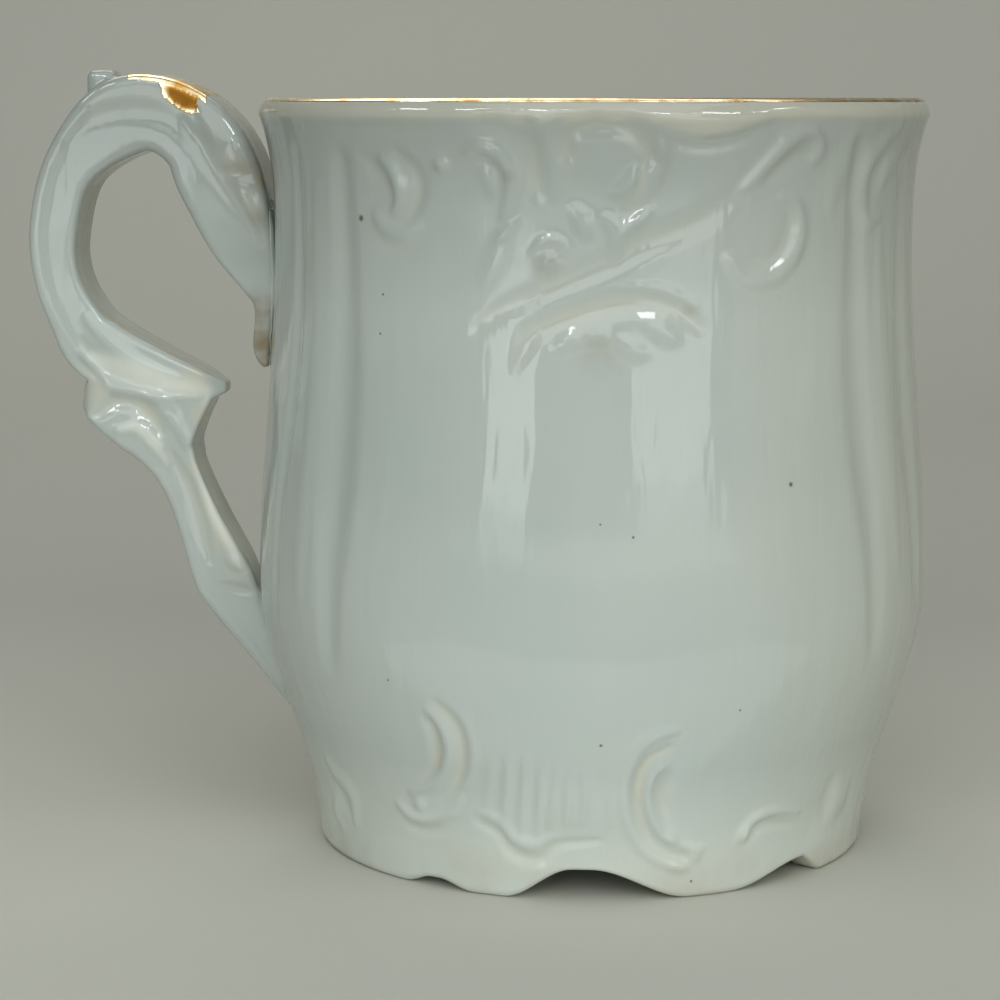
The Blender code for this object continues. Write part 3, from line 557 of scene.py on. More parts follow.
def coordinates(obj):
    """Vertex places as an array."""
    return vectors(obj.data.vertices, "co")


def normals(obj):
    """Vertex normals as an array."""
    return vectors(obj.data.vertex_normals, "vector")


def push(obj, name, weights, distance, direction="NORMAL"):
    """Moves vertices by painted weights, as a Displace modifier that is then applied."""
    group = obj.vertex_groups.new(name=name)
    for index in np.flatnonzero(weights > SMALLEST_WEIGHT):
        group.add([int(index)], float(min(weights[index], 1.0)), "REPLACE")
    apply_modifier(
        obj, "DISPLACE", vertex_group=name, strength=distance, mid_level=0.0, direction=direction)
    obj.vertex_groups.remove(obj.vertex_groups[name])


def carve(obj, rises):
    """Raises and sinks a skin by rises in millimetres."""
    push(obj, "raised", np.clip(rises, 0, 1), MM)
    push(obj, "sunk", np.clip(-rises, 0, 1), -MM)


def paint(obj, name, values):
    """Stores one number a vertex for the materials."""
    attribute = obj.data.attributes.new(name, "FLOAT", "POINT")
    attribute.data.foreach_set("value", np.asarray(values, np.float32))


def smooth_line(points, steps):
    """Points on a smooth curve through the given ones."""
    points = np.array(points, float)
    ends = np.vstack([2 * points[0] - points[1], points, 2 * points[-1] - points[-2]])
    line = []
    for before, start, end, after in zip(ends, ends[1:], ends[2:], ends[3:]):
        for t in np.linspace(0, 1, steps, endpoint=False):
            pull = (end - before) * t + (2 * before - 5 * start + 4 * end - after) * t ** 2
            pull += (3 * (start - end) + after - before) * t ** 3
            line.append(start + 0.5 * pull)
    line.append(points[-1])
    return np.array(line)


def bump(share):
    """A rounded hump: 1 in the middle, level and 0 at the edge."""
    return 0.5 + 0.5 * np.cos(np.pi * np.clip(share, 0.0, 1.0))


def stroke_rise(places, half_width, rise, points):
    """Rise of one stroke at flat places: a rounded bead that narrows towards its ends."""
    if len(points) == 1:
        return rise * bump(np.linalg.norm(places - np.array(points[0]), axis=1) / half_width)
    line = smooth_line(points, LINE_STEPS)
    fullness = END_TAPER + (1 - END_TAPER) * np.sin(np.pi * np.linspace(0, 1, len(line)))
    result = np.zeros(len(places))
    near = np.all((places > line.min(0) - half_width) & (places < line.max(0) + half_width), axis=1)
    close = places[near]
    best = np.zeros(len(close))
    for start, end, full, full_next in zip(line, line[1:], fullness, fullness[1:]):
        run = end - start
        along = np.clip((close - start) @ run / (run @ run + SMALLEST_RUN), 0.0, 1.0)
        gap = np.linalg.norm(close - start - along[:, None] * run, axis=1)
        here = full + (full_next - full) * along
        best = np.maximum(best, here * bump(gap / (half_width * here)))
    result[near] = rise * best
    return result


def relief(places, strokes):
    """Total rise of all strokes at flat places, in millimetres."""
    return sum(stroke_rise(places, *stroke) for stroke in strokes)


def turn_profile(name, profile, steps):
    """Extrudes one point along a profile of (radius, height) and spins it round the cup's axis."""
    clear_selection()
    bpy.ops.mesh.primitive_plane_add(size=MM)
    obj = bpy.context.object
    obj.name = name
    obj.data.name = name
    places = [Vector((AXIS_X + radius, 0.0, height)) for radius, height in profile]
    set_mode("EDIT")
    bpy.ops.mesh.select_mode(type="VERT")
    bpy.ops.mesh.merge(type="CENTER")
    bpy.ops.mesh.select_all(action="SELECT")
    bpy.ops.transform.translate(value=places[0])
    for here, there in zip(places, places[1:]):
        bpy.ops.mesh.extrude_region_move(TRANSFORM_OT_translate={"value": there - here})
    bpy.ops.mesh.select_all(action="SELECT")
    bpy.ops.mesh.spin(steps=steps, angle=2 * math.pi, center=(AXIS_X, 0.0, 0.0), axis=(0.0, 0.0, 1.0))
    bpy.ops.mesh.select_all(action="SELECT")
    bpy.ops.mesh.remove_doubles(threshold=MERGE_DISTANCE)
    bpy.ops.mesh.normals_make_consistent(inside=False)
    set_mode("OBJECT")
    bpy.ops.object.shade_smooth()
    return obj


def arc(centre, half_width, half_height, start, end, steps):
    """Points on an upright ellipse between two angles, in the profile plane."""
    return [
        (centre[0] + half_width * math.cos(a), centre[1] + half_height * math.sin(a))
        for a in np.linspace(start, end, steps)
    ]


def crown_arc(start, end, proud, steps):
    """Points on the lip's rounded crown, or a little proud of it."""
    centre = (LIP_RADIUS - LIP_THICKNESS / 2, LIP_LINE)
    return arc(centre, LIP_THICKNESS / 2 + proud, LIP_CROWN + proud, start, end, steps)


def wall_heights():
    """Heights of the outer wall's rows, from the lip down to the foot's edge."""
    heights = [LIP_LINE]
    while heights[-1] > FOOT_EDGE_ROUND + FINE_ROW:
        fine = heights[-1] > UPPER_FRIEZE or heights[-1] < LOWER_FRIEZE + WIDE_ROW
        heights.append(heights[-1] - (FINE_ROW if fine else WIDE_ROW))
    return heights


def body_profile():
    """The cup's section: floor, inner wall, lip, outer wall, foot ring and recess."""
    fillet_line = FLOOR_TOP + FLOOR_FILLET
    fillet_radius = wall_radius(fillet_line) - WALL_THICKNESS - FLOOR_FILLET
    profile = [(radius, FLOOR_TOP) for radius in np.linspace(0, fillet_radius, FLOOR_ROWS, endpoint=False)]
    fillet_centre = (fillet_radius, fillet_line)
    profile += arc(fillet_centre, FLOOR_FILLET, FLOOR_FILLET, -math.pi / 2, 0.0, FILLET_STEPS)
    inner = np.linspace(fillet_line, LIP_LINE, INNER_ROWS)[1:-1]
    profile += [(wall_radius(z) - WALL_THICKNESS, z) for z in inner]
    profile += crown_arc(math.pi, 0.0, 0.0, CROWN_STEPS)
    profile += [(wall_radius(z), z) for z in wall_heights()[1:]]
    ring_inside = FOOT_RADIUS - FOOT_RING_WIDTH
    outer_round = (FOOT_RADIUS - FOOT_EDGE_ROUND, FOOT_EDGE_ROUND)
    inner_round = (ring_inside + FOOT_EDGE_ROUND, FOOT_EDGE_ROUND)
    profile += arc(outer_round, FOOT_EDGE_ROUND, FOOT_EDGE_ROUND, 0.0, -math.pi / 2, FOOT_STEPS)
    profile += arc(inner_round, FOOT_EDGE_ROUND, FOOT_EDGE_ROUND, -math.pi / 2, -math.pi, FOOT_STEPS)
    profile += [(ring_inside, z) for z in np.linspace(FOOT_EDGE_ROUND, FOOT_RECESS, FOOT_STEPS)[1:]]
    profile += [(radius, FOOT_RECESS) for radius in np.linspace(ring_inside, 0, FLOOR_ROWS)[1:]]
    return profile


def front_angle(places):
    """Angle of each place from the front in radians, with the back folded onto the front."""
    x = places[:, 0] - AXIS_X
    return np.arctan2(x, np.abs(places[:, 1]))


def stain_at(places, marks):
    """How stained flat places are by round marks with soft edges."""
    depths = [strength * bump(np.hypot(*(places - (x, y)).T) / size) for x, y, size, strength in marks]
    return np.max(depths, axis=0)


def unroll(bearing, up):
    """A place on the wall, in degrees and millimetres up, as millimetres along the wall and up."""
    return math.radians(bearing) * float(wall_radius(up * MM)) / MM, up


def on_wall(strokes, spread):
    """Strokes widened by a share and unrolled along the wall."""
    return [
        (spread * half_width, rise, [unroll(*point) for point in points])
        for half_width, rise, points in strokes
    ]


def foot_lift(angle):
    """How far the foot's edge rises over the table between its rounded lobes."""
    bearing = np.degrees(angle)
    lift = np.zeros(len(bearing))
    for start, top, top_end, end, height in FOOT_SCALLOPS:
        rising = ease((bearing - start) / (top - start))
        falling = ease((end - bearing) / (end - top_end))
        lift += height * MM * rising * falling
    return lift


def make_body():
    """The cup: turned, scalloped at the foot, then raised and sunk into relief."""
    body = turn_profile("glazed_body", body_profile(), TURN_STEPS)
    places = coordinates(body)
    angle = front_angle(places)
    height = places[:, 2]
    radius = np.hypot(places[:, 0] - AXIS_X, places[:, 1])
    outside = radius > wall_radius(height) - FOOT_EDGE_ROUND

    in_ring = radius > FOOT_RADIUS - FOOT_RING_WIDTH - FOOT_EDGE_ROUND
    reach = np.clip(1 - height / np.where(outside, FOOT_SCALLOP_REACH, FOOT_RECESS), 0.0, 1.0)
    lift = foot_lift(angle) * np.where(in_ring & (height < FOOT_SCALLOP_REACH), reach, 0.0)

    flat = np.column_stack([angle * wall_radius(height) / MM, (height + lift) / MM])
    on_outside = outside & (height < LIP_LINE + FINE_ROW)
    ornament = np.where(on_outside, relief(flat, on_wall(ORNAMENT, GLAZE_SPREAD)), 0.0)
    rises = GLAZE_SOFTENING * ornament + np.where(on_outside, relief(flat, on_wall(PILASTERS, 1.0)), 0.0)
    beads = [stroke for stroke in ORNAMENT if stroke[1] > 0]
    halo = np.where(on_outside, relief(flat, on_wall(beads, HALO)), 0.0)

    carve(body, rises)
    push(body, "foot", lift / FOOT_RECESS, FOOT_RECESS, "Z")
    paint(body, "hollow", np.clip(halo - HALO_CUT * ornament, 0, 1))
    scallops = [stroke for stroke in LIP_SCALLOPS if stroke[1] > 0]
    band = ease((height - LIP_LINE + LIP_BAND) / LIP_BAND)
    tongues = LIP_TONGUES * relief(flat, on_wall(scallops, GLAZE_SPREAD))
    paint(body, "lip", np.where(outside, np.clip(band + tongues, 0, 1), 0.0))
    marks = [(*unroll(bearing, up), size, strength) for bearing, up, size, strength in WALL_STAINS]
    paint(body, "stain", np.where(on_outside, stain_at(flat, marks), 0.0))
    return body


def along_wall(stations, low, high, thickness, depth):
    """Stations up the wall: (out from the axis, height, half thickness, half depth)."""
    path = []
    for stand_off, place, thick, deep in stations:
        z = low + (high - low) * place
        out = float(wall_radius(z)) + stand_off * thickness
        path.append((out, z, thick * thickness / 2, deep * depth / 2))
    return path


def leaf_path():
    """Stations of the leaf, from its tip up the wall."""
    return along_wall(LEAF_STATIONS, LEAF_TIP, LEAF_TOP, LEAF_THICKNESS, LEAF_DEPTH)


def tail_path():
    """Stations of the stem's tail, from its seat down the wall."""
    return along_wall(TAIL_STATIONS, TAIL_TIP, STEM_SEAT, STEM_THICKNESS, STEM_DEPTH)


def scroll_path():
    """Stations of the leaf, crest, loop, arm and spur."""
    path = leaf_path()
    for out, down, thickness, depth in SCROLL_STATIONS:
        path.append((
            LIP_RADIUS + out * HANDLE_PROJECTION, CREST_LINE - down * LOOP_HEIGHT,
            thickness * BAND_THICKNESS / 2, depth * BAND_DEPTH / 2))
    return path


def stem_run(shares):
    """Stations between the knuckle and the stem's seat."""
    out = LIP_RADIUS + KNUCKLE_REACH
    seat = float(wall_radius(STEM_SEAT)) + TAIL_STATIONS[0][0] * STEM_THICKNESS
    return [
        (out + (seat - out) * across, KNUCKLE_LINE + (STEM_SEAT - KNUCKLE_LINE) * down,
         thickness * STEM_THICKNESS / 2, depth * STEM_DEPTH / 2)
        for across, down, thickness, depth in shares
    ]


def stem_path():
    """Stations of the knuckle, the stem and its tail along the wall."""
    return stem_run(STEM_STATIONS) + tail_path()


def loft(name, stations, extra):
    """Extrudes a rounded square from station to station in the handle's plane, fattened by extra."""
    path = smooth_line(stations, SPAN_STEPS)
    path[:, 2:] += extra
    centres = [Vector((AXIS_X - out, 0.0, z)) for out, z in path[:, :2]]
    tilts = []
    for before, after in zip([centres[0], *centres], [*centres[1:], centres[-1]]):
        run = after - before
        tilts.append(math.atan2(run.x, run.z))
    clear_selection()
    bpy.ops.mesh.primitive_plane_add(size=2.0)
    obj = bpy.context.object
    obj.name = name
    set_mode("EDIT")
    bpy.ops.mesh.select_mode(type="VERT")
    bpy.ops.mesh.bevel(affect="VERTICES", offset=SECTION_CORNER, segments=SECTION_SEGMENTS)
    bpy.ops.mesh.select_all(action="SELECT")
    half_thickness, half_depth = path[0][2:]
    bpy.ops.transform.resize(value=(half_thickness, half_depth, 1.0), center_override=(0.0, 0.0, 0.0))
    turn_section(tilts[0], (0.0, 0.0, 0.0))
    bpy.ops.transform.translate(value=centres[0])
    for i in range(1, len(path)):
        bpy.ops.mesh.extrude_region_move(TRANSFORM_OT_translate={"value": centres[i] - centres[i - 1]})
        turn_section(-tilts[i - 1], centres[i])
        growth = path[i][2:] / path[i - 1][2:]
        bpy.ops.transform.resize(value=(growth[0], growth[1], 1.0), center_override=centres[i])
        turn_section(tilts[i], centres[i])
    bpy.ops.mesh.select_all(action="SELECT")
    bpy.ops.mesh.normals_make_consistent(inside=False)
    set_mode("OBJECT")
    return obj


def turn_section(tilt, centre):
    """Tilts the selected section about the Y axis, from +Z towards +X."""
    bpy.ops.transform.rotate(
        value=-tilt, orient_axis="Y", orient_type="GLOBAL", center_override=centre)


def make_nub():
    """The small square nub on the crest."""
    clear_selection()
    out = LIP_RADIUS + NUB_PLACE * HANDLE_PROJECTION
    centre = (AXIS_X - out, 0.0, (CREST_LINE + NUB_TOP) / 2)
    bpy.ops.mesh.primitive_cube_add(size=1.0, location=centre)
    nub = bpy.context.object
    set_mode("EDIT")
    bpy.ops.transform.resize(value=(*NUB_SIZE, NUB_TOP - CREST_LINE), center_override=centre)
    bpy.ops.mesh.bevel(affect="EDGES", offset=NUB_EDGE, segments=NUB_EDGE_SEGMENTS)
    set_mode("OBJECT")
    return nub


def join(name, objects):
    """Joins objects into the first, with their places in its mesh."""
    pick(objects[0])
    for obj in objects:
        obj.select_set(True)
    bpy.ops.object.transform_apply(location=True, rotation=True, scale=True)
    bpy.ops.object.join()
    objects[0].name = name
    objects[0].data.name = name
    return objects[0]


def melt(obj, voxel, smoothing):
    """Fuses overlapping solids into one skin and rounds it as glaze does."""
    apply_modifier(obj, "REMESH", mode="VOXEL", voxel_size=voxel, use_smooth_shade=True)
    apply_modifier(obj, "SMOOTH", factor=SMOOTH_FACTOR, iterations=smoothing)


def handle_flat(places):
    """Places as millimetres out from the cup's axis and up from the table."""
    return np.column_stack([(AXIS_X - places[:, 0]) / MM, places[:, 2] / MM])


def make_handle():
    """Scroll, stem, fillet and nub melted into one, then carved on both faces."""
    pieces = [
        loft("scroll", scroll_path(), 0.0), loft("stem", stem_path(), 0.0),
        loft("spur_fillet", stem_run(FILLET_STATIONS), 0.0), make_nub(),
    ]
    handle = join("scroll_handle", pieces)
    melt(handle, HANDLE_VOXEL, HANDLE_SMOOTHING)
    flat = handle_flat(coordinates(handle))
    facing = ease(np.abs(normals(handle)[:, 1]) / FACE_TURN)
    rises = relief(flat, HANDLE_CARVING) * facing
    carve(handle, rises)
    apply_modifier(handle, "SMOOTH", factor=SMOOTH_FACTOR, iterations=CARVING_SMOOTHING)
    raised = [(HALO * half_width, rise, points) for half_width, rise, points in HANDLE_CARVING if rise > 0]
    hollow = HANDLE_TINT * (relief(flat, raised) - HALO_CUT * rises) * facing
    paint(handle, "hollow", np.clip(np.maximum(hollow, stain_at(flat, CREAM_MARKS)), 0, 1))
    # Painted highlight on the arm, stem and knuckle ridges
    paint(handle, "pale", np.clip(relief(flat, HIGHLIGHT_RIDGES), 0, 1) * facing)
    # Brown stain, and at the leaf's tip partly painted shade between the tip and the wall
    paint(handle, "stain", stain_at(flat, STAINS))
    # Thin glaze and painted shade on the side faces
    paint(handle, "edge", 1 - ease(np.abs(normals(handle)[:, 1]) / EDGE_TURN))
    return handle


def wall_solid(name, offset):
    """A plain solid of the cup's outside, moved out by an offset, for trimming."""
    heights = np.linspace(LIP_LINE, 0.0, GUIDE_ROWS)
    profile = [(0.0, CUP_HEIGHT), (LIP_RADIUS + offset, CUP_HEIGHT)]
    profile += [(float(wall_radius(z)) + offset, z) for z in heights]
    profile.append((0.0, 0.0))
    return turn_profile(name, profile, GUIDE_STEPS)


def make_slip(name, path):
    """Slip pressed out between the handle and the wall, with a soft edge."""
    slip = loft(name, path, SLIP_FLARE)
    inside = wall_solid("slip_inside", -SLIP_BITE)
    outside = wall_solid("slip_outside", SLIP_REACH)
    apply_modifier(slip, "BOOLEAN", operation="INTERSECT", object=outside, solver="EXACT")
    apply_modifier(slip, "BOOLEAN", operation="DIFFERENCE", object=inside, solver="EXACT")
    for guide in (inside, outside):
        bpy.data.objects.remove(guide)
    melt(slip, SLIP_VOXEL, SLIP_SMOOTHING)
    return slip


def make_rim_gilt():
    """The film on the lip's crown, browner towards the right as browned gold and painted shade."""
    edge = math.asin(1 - RIM_GILT_DEPTH / LIP_CROWN)
    profile = crown_arc(math.pi - edge, edge, FILM, CROWN_STEPS)
    profile += crown_arc(edge, math.pi - edge, -FILM, CROWN_STEPS)
    profile.append(profile[0])
    gilt = turn_profile("rim_gilt", profile, TURN_STEPS)
    # Browned gold and painted shade, darker towards the right
    paint(gilt, "amber_and_shade", RIM_BROWNING_AND_SHADE * ease(RIM_BROWNING_AND_SHADE_MIDDLE + coordinates(gilt)[:, 0] / LIP_RADIUS))
    return gilt


def inside_outline(points, outline):
    """Which points lie inside a closed outline."""
    inside = np.zeros(len(points), bool)
    for (x0, y0), (x1, y1) in zip(outline, [*outline[1:], outline[0]]):
        spans = (points[:, 1] > y0) != (points[:, 1] > y1)
        crossing = (x1 - x0) * (points[:, 1] - y0) / (y1 - y0 + SMALLEST_SLOPE) + x0
        inside ^= spans & (points[:, 0] < crossing)
    return inside


def make_handle_gilt(handle):
    """What is left of the gold on the crest: the handle's own skin there, thickened to a film."""
    mesh = handle.data
    centres = vectors(mesh.polygons, "center")
    upward = vectors(mesh.polygons, "normal")[:, 2]
    flat = handle_flat(centres)
    stroke = (flat[:, 0] > GILT_STROKE[0]) & (flat[:, 0] < GILT_STROKE[1])
    stroke &= (upward > GILT_STROKE_SLOPE) & (centres[:, 2] > CREST_LINE)
    drip = inside_outline(flat, GILT_DRIP) & (centres[:, 1] < 0)
    pick(handle)
    mesh.polygons.foreach_set("select", stroke | drip)
    set_mode("EDIT")
    bpy.ops.mesh.select_mode(type="FACE")
    bpy.ops.mesh.duplicate()
    bpy.ops.mesh.separate(type="SELECTED")
    set_mode("OBJECT")
    gilt = [o for o in bpy.context.selected_objects if o != handle][0]
    gilt.name = "handle_gilt"
    gilt.data.name = "handle_gilt"
    pick(gilt)
    set_mode("EDIT")
    bpy.ops.mesh.select_all(action="SELECT")
    bpy.ops.mesh.vertices_smooth(factor=SMOOTH_FACTOR, repeat=GILT_SMOOTHING)
    set_mode("OBJECT")
    apply_modifier(gilt, "SOLIDIFY", thickness=FILM, offset=GILT_OFFSET)
    out, up = handle_flat(coordinates(gilt)).T
    below_top = up.copy()
    above_end = up.copy()
    for place in np.unique(np.round(out / GILT_STRIP)):
        strip = np.round(out / GILT_STRIP) == place
        below_top[strip] = up[strip].max() - up[strip]
        above_end[strip] = up[strip] - up[strip].min()
    # The middle of the handle's gold is painted dark as browned gold and painted shade, and its upper and
    # lower edges are left bright
    inner = ease((below_top - STROKE_BRIGHT) / STROKE_FADE) * ease((above_end - DRIP_BRIGHT) / DRIP_FADE)
    paint(gilt, "amber_and_shade", inner * ease((DRIP_LEFT - out) / DRIP_LEFT_FADE))
    return gilt


def feed(tree, socket, value):
    """Gives a socket the output of another or a plain value."""
    if isinstance(value, bpy.types.NodeSocket):
        tree.links.new(value, socket)
    else:
        socket.default_value = value


def fill(tree, node, values):
    """Gives a node's sockets and properties their values, by name."""
    for key, value in values.items():
        if key in node.inputs:
            feed(tree, node.inputs[key], value)
        else:
            setattr(node, key, value)


def add_node(tree, kind, **values):
    """A new shader node with its sockets and properties filled."""
    node = tree.nodes.new(kind)
    fill(tree, node, values)
    return node


def new_material(name):
    """A fresh material, its nodes, its shader and the object's own coordinates."""
    material = bpy.data.materials.new(name)
    material.use_nodes = True
    tree = material.node_tree
    place = tree.nodes.new("ShaderNodeTexCoord").outputs["Object"]
    return material, tree, tree.nodes["Principled BSDF"], place


def mix_colour(tree, factor, first, second):
    """Mixes a colour, a socket or plain numbers, with a plain one by a factor socket."""
    node = add_node(tree, "ShaderNodeMix", data_type="RGBA", Factor=factor)
    socket, other = [s for s in node.inputs if s.type == "RGBA"]
    feed(tree, socket, (*first, 1.0) if isinstance(first, tuple) else first)
    other.default_value = (*second, 1.0)
    return [s for s in node.outputs if s.type == "RGBA"][0]


def combine(tree, operation, first, second):
    """Two values put together by a maths node; each is a socket or a plain number."""
    node = add_node(tree, "ShaderNodeMath", operation=operation)
    feed(tree, node.inputs[0], first)
    feed(tree, node.inputs[1], second)
    return node.outputs[0]


def product(tree, first, second):
    """Product of two values."""
    return combine(tree, "MULTIPLY", first, second)


def noise(tree, place, scale, detail):
    """Noise at a place socket, in cycles a metre."""
    return add_node(tree, "ShaderNodeTexNoise", Vector=place, Scale=scale, Detail=detail).outputs["Fac"]


def span(tree, socket, low, high, to_low=0.0, to_high=1.0):
    """Maps a range of values onto another, clamped."""
    values = {"Value": socket, "From Min": low, "From Max": high, "To Min": to_low, "To Max": to_high}
    return add_node(tree, "ShaderNodeMapRange", **values).outputs["Result"]


def mottle(tree, place, pattern):
    """Noise with its range mapped onto another."""
    scale, detail, *limits = pattern
    return span(tree, noise(tree, place, scale, detail), *limits)


def painted(tree, name):
    """The number painted on each vertex under a name."""
    return add_node(tree, "ShaderNodeAttribute", attribute_name=name).outputs["Fac"]


def coordinate(tree, place, axis):
    """One coordinate of a place socket."""
    return add_node(tree, "ShaderNodeSeparateXYZ", Vector=place).outputs[axis]


def speck_mask(tree, place):
    """Small round marks at the specks' places on the front of the wall."""
    mask = 0.0
    for bearing, up, size in SPECKS:
        radius = float(wall_radius(up * MM))
        angle = math.radians(bearing)
        centre = (AXIS_X + radius * math.sin(angle), -radius * math.cos(angle), up * MM)
        gap = add_node(tree, "ShaderNodeVectorMath", operation="DISTANCE")
        feed(tree, gap.inputs[0], place)
        feed(tree, gap.inputs[1], centre)
        mark = span(tree, gap.outputs["Value"], size * MM, SPECK_CORE * size * MM)
        mask = combine(tree, "MAXIMUM", mask, mark)
    return mask


def make_glaze(name, foot_light_and_cream, lip_cream_and_shade, specked):
    """Glossy grey-green white glaze: cloudy, creamy in hollows and at the foot, stained and specked, with
    painted shade towards the top and on the handle's side faces, painted light at the foot and on the right
    side, and painted highlights on the handle's ridges.
    """
    material, tree, shader, place = new_material(name)
    height = coordinate(tree, place, "Z")
    low_blotches = product(tree, span(tree, height, *LOW_FOOT), mottle(tree, place, BLOTCHES))
    layers = (
        (product(tree, painted(tree, "hollow"), mottle(tree, place, POOLING)), GLAZE_POOL),
        # Painted warm light on the right side
        (span(tree, coordinate(tree, place, "X"), *WARM_LIT_SIDE), GLAZE_WARM_LIGHT),
        # Painted light towards the foot
        (product(tree, span(tree, height, *FOOT_LIGHT_FADE), foot_light_and_cream), GLAZE_FOOT_LIGHT),
        (product(tree, low_blotches, foot_light_and_cream), GLAZE_CREAM),
        # Painted shade towards the top, under the lip and on the handle's crest
        (product(tree, span(tree, height, *SHADE_FADE), lip_cream_and_shade), GLAZE_SHADE),
        (product(tree, painted(tree, "lip"), lip_cream_and_shade), GLAZE_CREAM),
        # Painted highlight on the handle's ridges
        (painted(tree, "pale"), GLAZE_HIGHLIGHT),
        # Thin glaze and painted shade on the handle's side faces
        (product(tree, painted(tree, "edge"), mottle(tree, place, THINNING_AND_SHADE)), GLAZE_THIN_AND_SHADE),
        (product(tree, painted(tree, "stain"), mottle(tree, place, STAINING)), GLAZE_STAIN),
    )
    colour = mix_colour(tree, mottle(tree, place, CLOUDS), GLAZE, GLAZE_COOL)
    for share, layer in layers:
        colour = mix_colour(tree, share, colour, layer)
    if specked:
        colour = mix_colour(tree, speck_mask(tree, place), colour, SPECK_COLOUR)
    ripple = add_node(
        tree, "ShaderNodeBump", Strength=RIPPLE_STRENGTH, Distance=RIPPLE_HEIGHT,
        Height=noise(tree, place, *RIPPLE_NOISE))
    upright = add_node(tree, "ShaderNodeMapping", Vector=place, Scale=STREAK_STRETCH)
    streaks = add_node(
        tree, "ShaderNodeBump", Strength=STREAK_STRENGTH, Distance=STREAK_HEIGHT,
        Height=noise(tree, upright.outputs["Vector"], *STREAK_NOISE), Normal=ripple.outputs["Normal"])
    fill(tree, shader, {
        "Base Color": colour, "Roughness": mottle(tree, place, GLOSS), "Normal": streaks.outputs["Normal"],
        "IOR": GLAZE_IOR})
    return material


def make_gold(name, wear):
    """Thin fired gold, browned and rubbed through to the glaze in places, and painted darker where browned
    gold and painted shade are laid on.
    """
    material, tree, shader, place = new_material(name)
    tarnish = mottle(tree, place, TARNISH)
    rubbed = span(tree, noise(tree, place, *RUB_NOISE), 1 - wear, 1 - wear + RUB_EDGE)
    colour = mix_colour(tree, tarnish, GOLD, GOLD_DARK)
    # Browned gold and painted shade
    colour = mix_colour(tree, painted(tree, "amber_and_shade"), colour, GOLD_AMBER_AND_SHADE)
    colour = mix_colour(tree, rubbed, colour, GLAZE)
    metal = span(tree, rubbed, 0.0, 1.0, 1.0, 0.0)
    roughness = span(tree, tarnish, 0.0, 1.0, *GOLD_ROUGHNESS)
    fill(tree, shader, {"Base Color": colour, "Metallic": metal, "Roughness": roughness})
    return material


def finish_piece(piece, node, material):
    """Dresses a piece, stands it for its solid and lets it ride on the cup."""
    piece.data.materials.clear()
    piece.data.materials.append(material)
    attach(piece, "root")
    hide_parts(node)


def make_floor():
    """A plain pale floor that sweeps up behind the cup, painted darker behind the cup as shade."""
    clear_selection()
    bpy.ops.mesh.primitive_plane_add(size=FLOOR_SIDE, location=(0.0, SWEEP_BACK - FLOOR_SIDE / 2, 0.0))
    floor = bpy.context.object
    floor.name = "floor"
    bpy.ops.object.transform_apply(location=True, rotation=True, scale=True)
    for edge in floor.data.edges:
        ends = [floor.data.vertices[i].co.y for i in edge.vertices]
        edge.select = min(ends) > SWEEP_BACK - MM
    for vertex in floor.data.vertices:
        vertex.select = vertex.co.y > SWEEP_BACK - MM
    for face in floor.data.polygons:
        face.select = False
    set_mode("EDIT")
    bpy.ops.mesh.select_mode(type="EDGE")
    bpy.ops.mesh.extrude_region_move(TRANSFORM_OT_translate={"value": (0.0, 0.0, SWEEP_RISE)})
    set_mode("OBJECT")
    apply_modifier(floor, "BEVEL", width=SWEEP_ROUND, segments=SWEEP_SEGMENTS, limit_method="ANGLE")
    bpy.ops.object.shade_smooth()
    material, tree, shader, place = new_material("pale_floor")
    # Painted shade: the floor darkens from just in front of the cup to behind it
    behind = span(tree, coordinate(tree, place, "Y"), *BACKDROP_SHADE_FADE)
    colour = mix_colour(tree, behind, FLOOR_COLOUR, SHADED_BACKDROP_COLOUR)
    fill(tree, shader, {"Base Color": colour, "Roughness": FLOOR_ROUGHNESS})
    floor.data.materials.append(material)


def make_camera():
    """The photograph's viewpoint."""
    data = bpy.data.cameras.new("photo_camera")
    data.sensor_fit = "HORIZONTAL"
    data.sensor_width = SENSOR
    data.lens = SENSOR * FOCAL_PIXELS / PHOTO_SIDE
    camera = bpy.data.objects.new("photo_camera", data)
    bpy.context.scene.collection.objects.link(camera)
    turn = Matrix.Rotation(CAMERA_TURN, 4, "Z")
    place = Vector((AXIS_X, 0.0, 0.0)) + turn @ Vector((-CAMERA_LEFT, -CAMERA_DISTANCE, CUP_HEIGHT))
    tilt = Matrix.Rotation(math.pi / 2 - CAMERA_PITCH, 4, "X")
    camera.matrix_world = Matrix.Translation(place) @ turn @ tilt
    bpy.context.scene.camera = camera


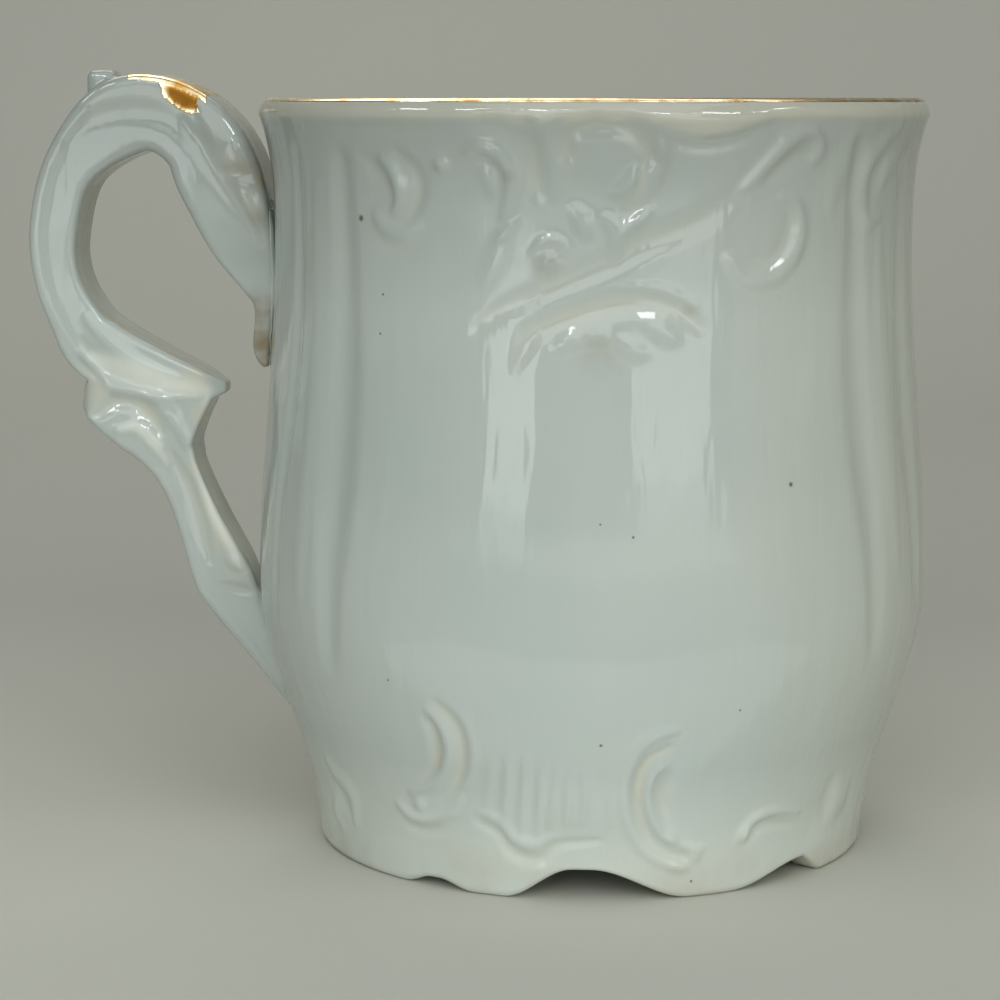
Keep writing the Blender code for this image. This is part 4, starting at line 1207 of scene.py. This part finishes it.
def make_light(name, bearing, distance, height, size, radiance, colour, aim=AIM, only_shine=False):
    """A soft rectangular lamp, by its bearing from the camera's side of the cup; some only show as shine."""
    data = bpy.data.lights.new(name, "AREA")
    data.shape = "RECTANGLE"
    data.size, data.size_y = size
    data.energy = radiance * math.pi * size[0] * size[1]
    data.color = colour
    lamp = bpy.data.objects.new(name, data)
    bpy.context.scene.collection.objects.link(lamp)
    angle = CAMERA_TURN + math.radians(bearing)
    place = Vector((AXIS_X + distance * math.sin(angle), -distance * math.cos(angle), height))
    lamp.location = place
    lamp.rotation_euler = (place - Vector((AXIS_X, 0.0, aim))).to_track_quat("Z", "Y").to_euler()
    lamp.visible_camera = False
    lamp.visible_diffuse = not only_shine
    return lamp


def light_scene():
    """Soft light from above and in front, with two low window strips that show in the glaze."""
    for lamp in LAMPS:
        make_light(*lamp)
    world = bpy.data.worlds.new("studio")
    world.use_nodes = True
    background = world.node_tree.nodes["Background"]
    fill(world.node_tree, background, {"Color": WORLD_COLOUR, "Strength": WORLD_STRENGTH})
    bpy.context.scene.world = world


def light_back(pieces):
    """A soft lamp behind the cup that lights its pieces alone and leaves the floor as it is."""
    lit = bpy.data.collections.new("lit_from_behind")
    for piece in pieces:
        lit.objects.link(piece)
    back = make_light(*BACK_LAMP)
    back.visible_glossy = False
    back.light_linking.receiver_collection = lit


body_glaze = make_glaze("body_glaze", foot_light_and_cream=0.9, lip_cream_and_shade=0.6, specked=True)
# The handle's glaze has no creamy lip; here this number sets its painted shade on the crest
handle_glaze = make_glaze("handle_glaze", foot_light_and_cream=0.0, lip_cream_and_shade=0.7, specked=False)
slip_glaze = make_glaze("slip_glaze", foot_light_and_cream=0.2, lip_cream_and_shade=0.4, specked=False)
rim_gold = make_gold("rim_gold", wear=0.33)
handle_gold = make_gold("handle_gold", wear=0.30)

make_camera()
make_floor()
light_scene()
body = make_body()
handle = make_handle()
handle_gilt = make_handle_gilt(handle)
rim_gilt = make_rim_gilt()
upper_slip = make_slip("upper_slip", leaf_path())
lower_slip = make_slip("lower_slip", tail_path())

finish_piece(body, "cup_body", body_glaze)
finish_piece(handle, "handle", handle_glaze)
finish_piece(handle_gilt, "handle_gilding", handle_gold)
finish_piece(rim_gilt, "rim_gilding", rim_gold)
finish_piece(upper_slip, "upper_slip_joint", slip_glaze)
finish_piece(lower_slip, "lower_slip_joint", slip_glaze)

light_back((body, handle, handle_gilt, rim_gilt, upper_slip, lower_slip))

bpy.context.scene.view_settings.view_transform = "Standard"
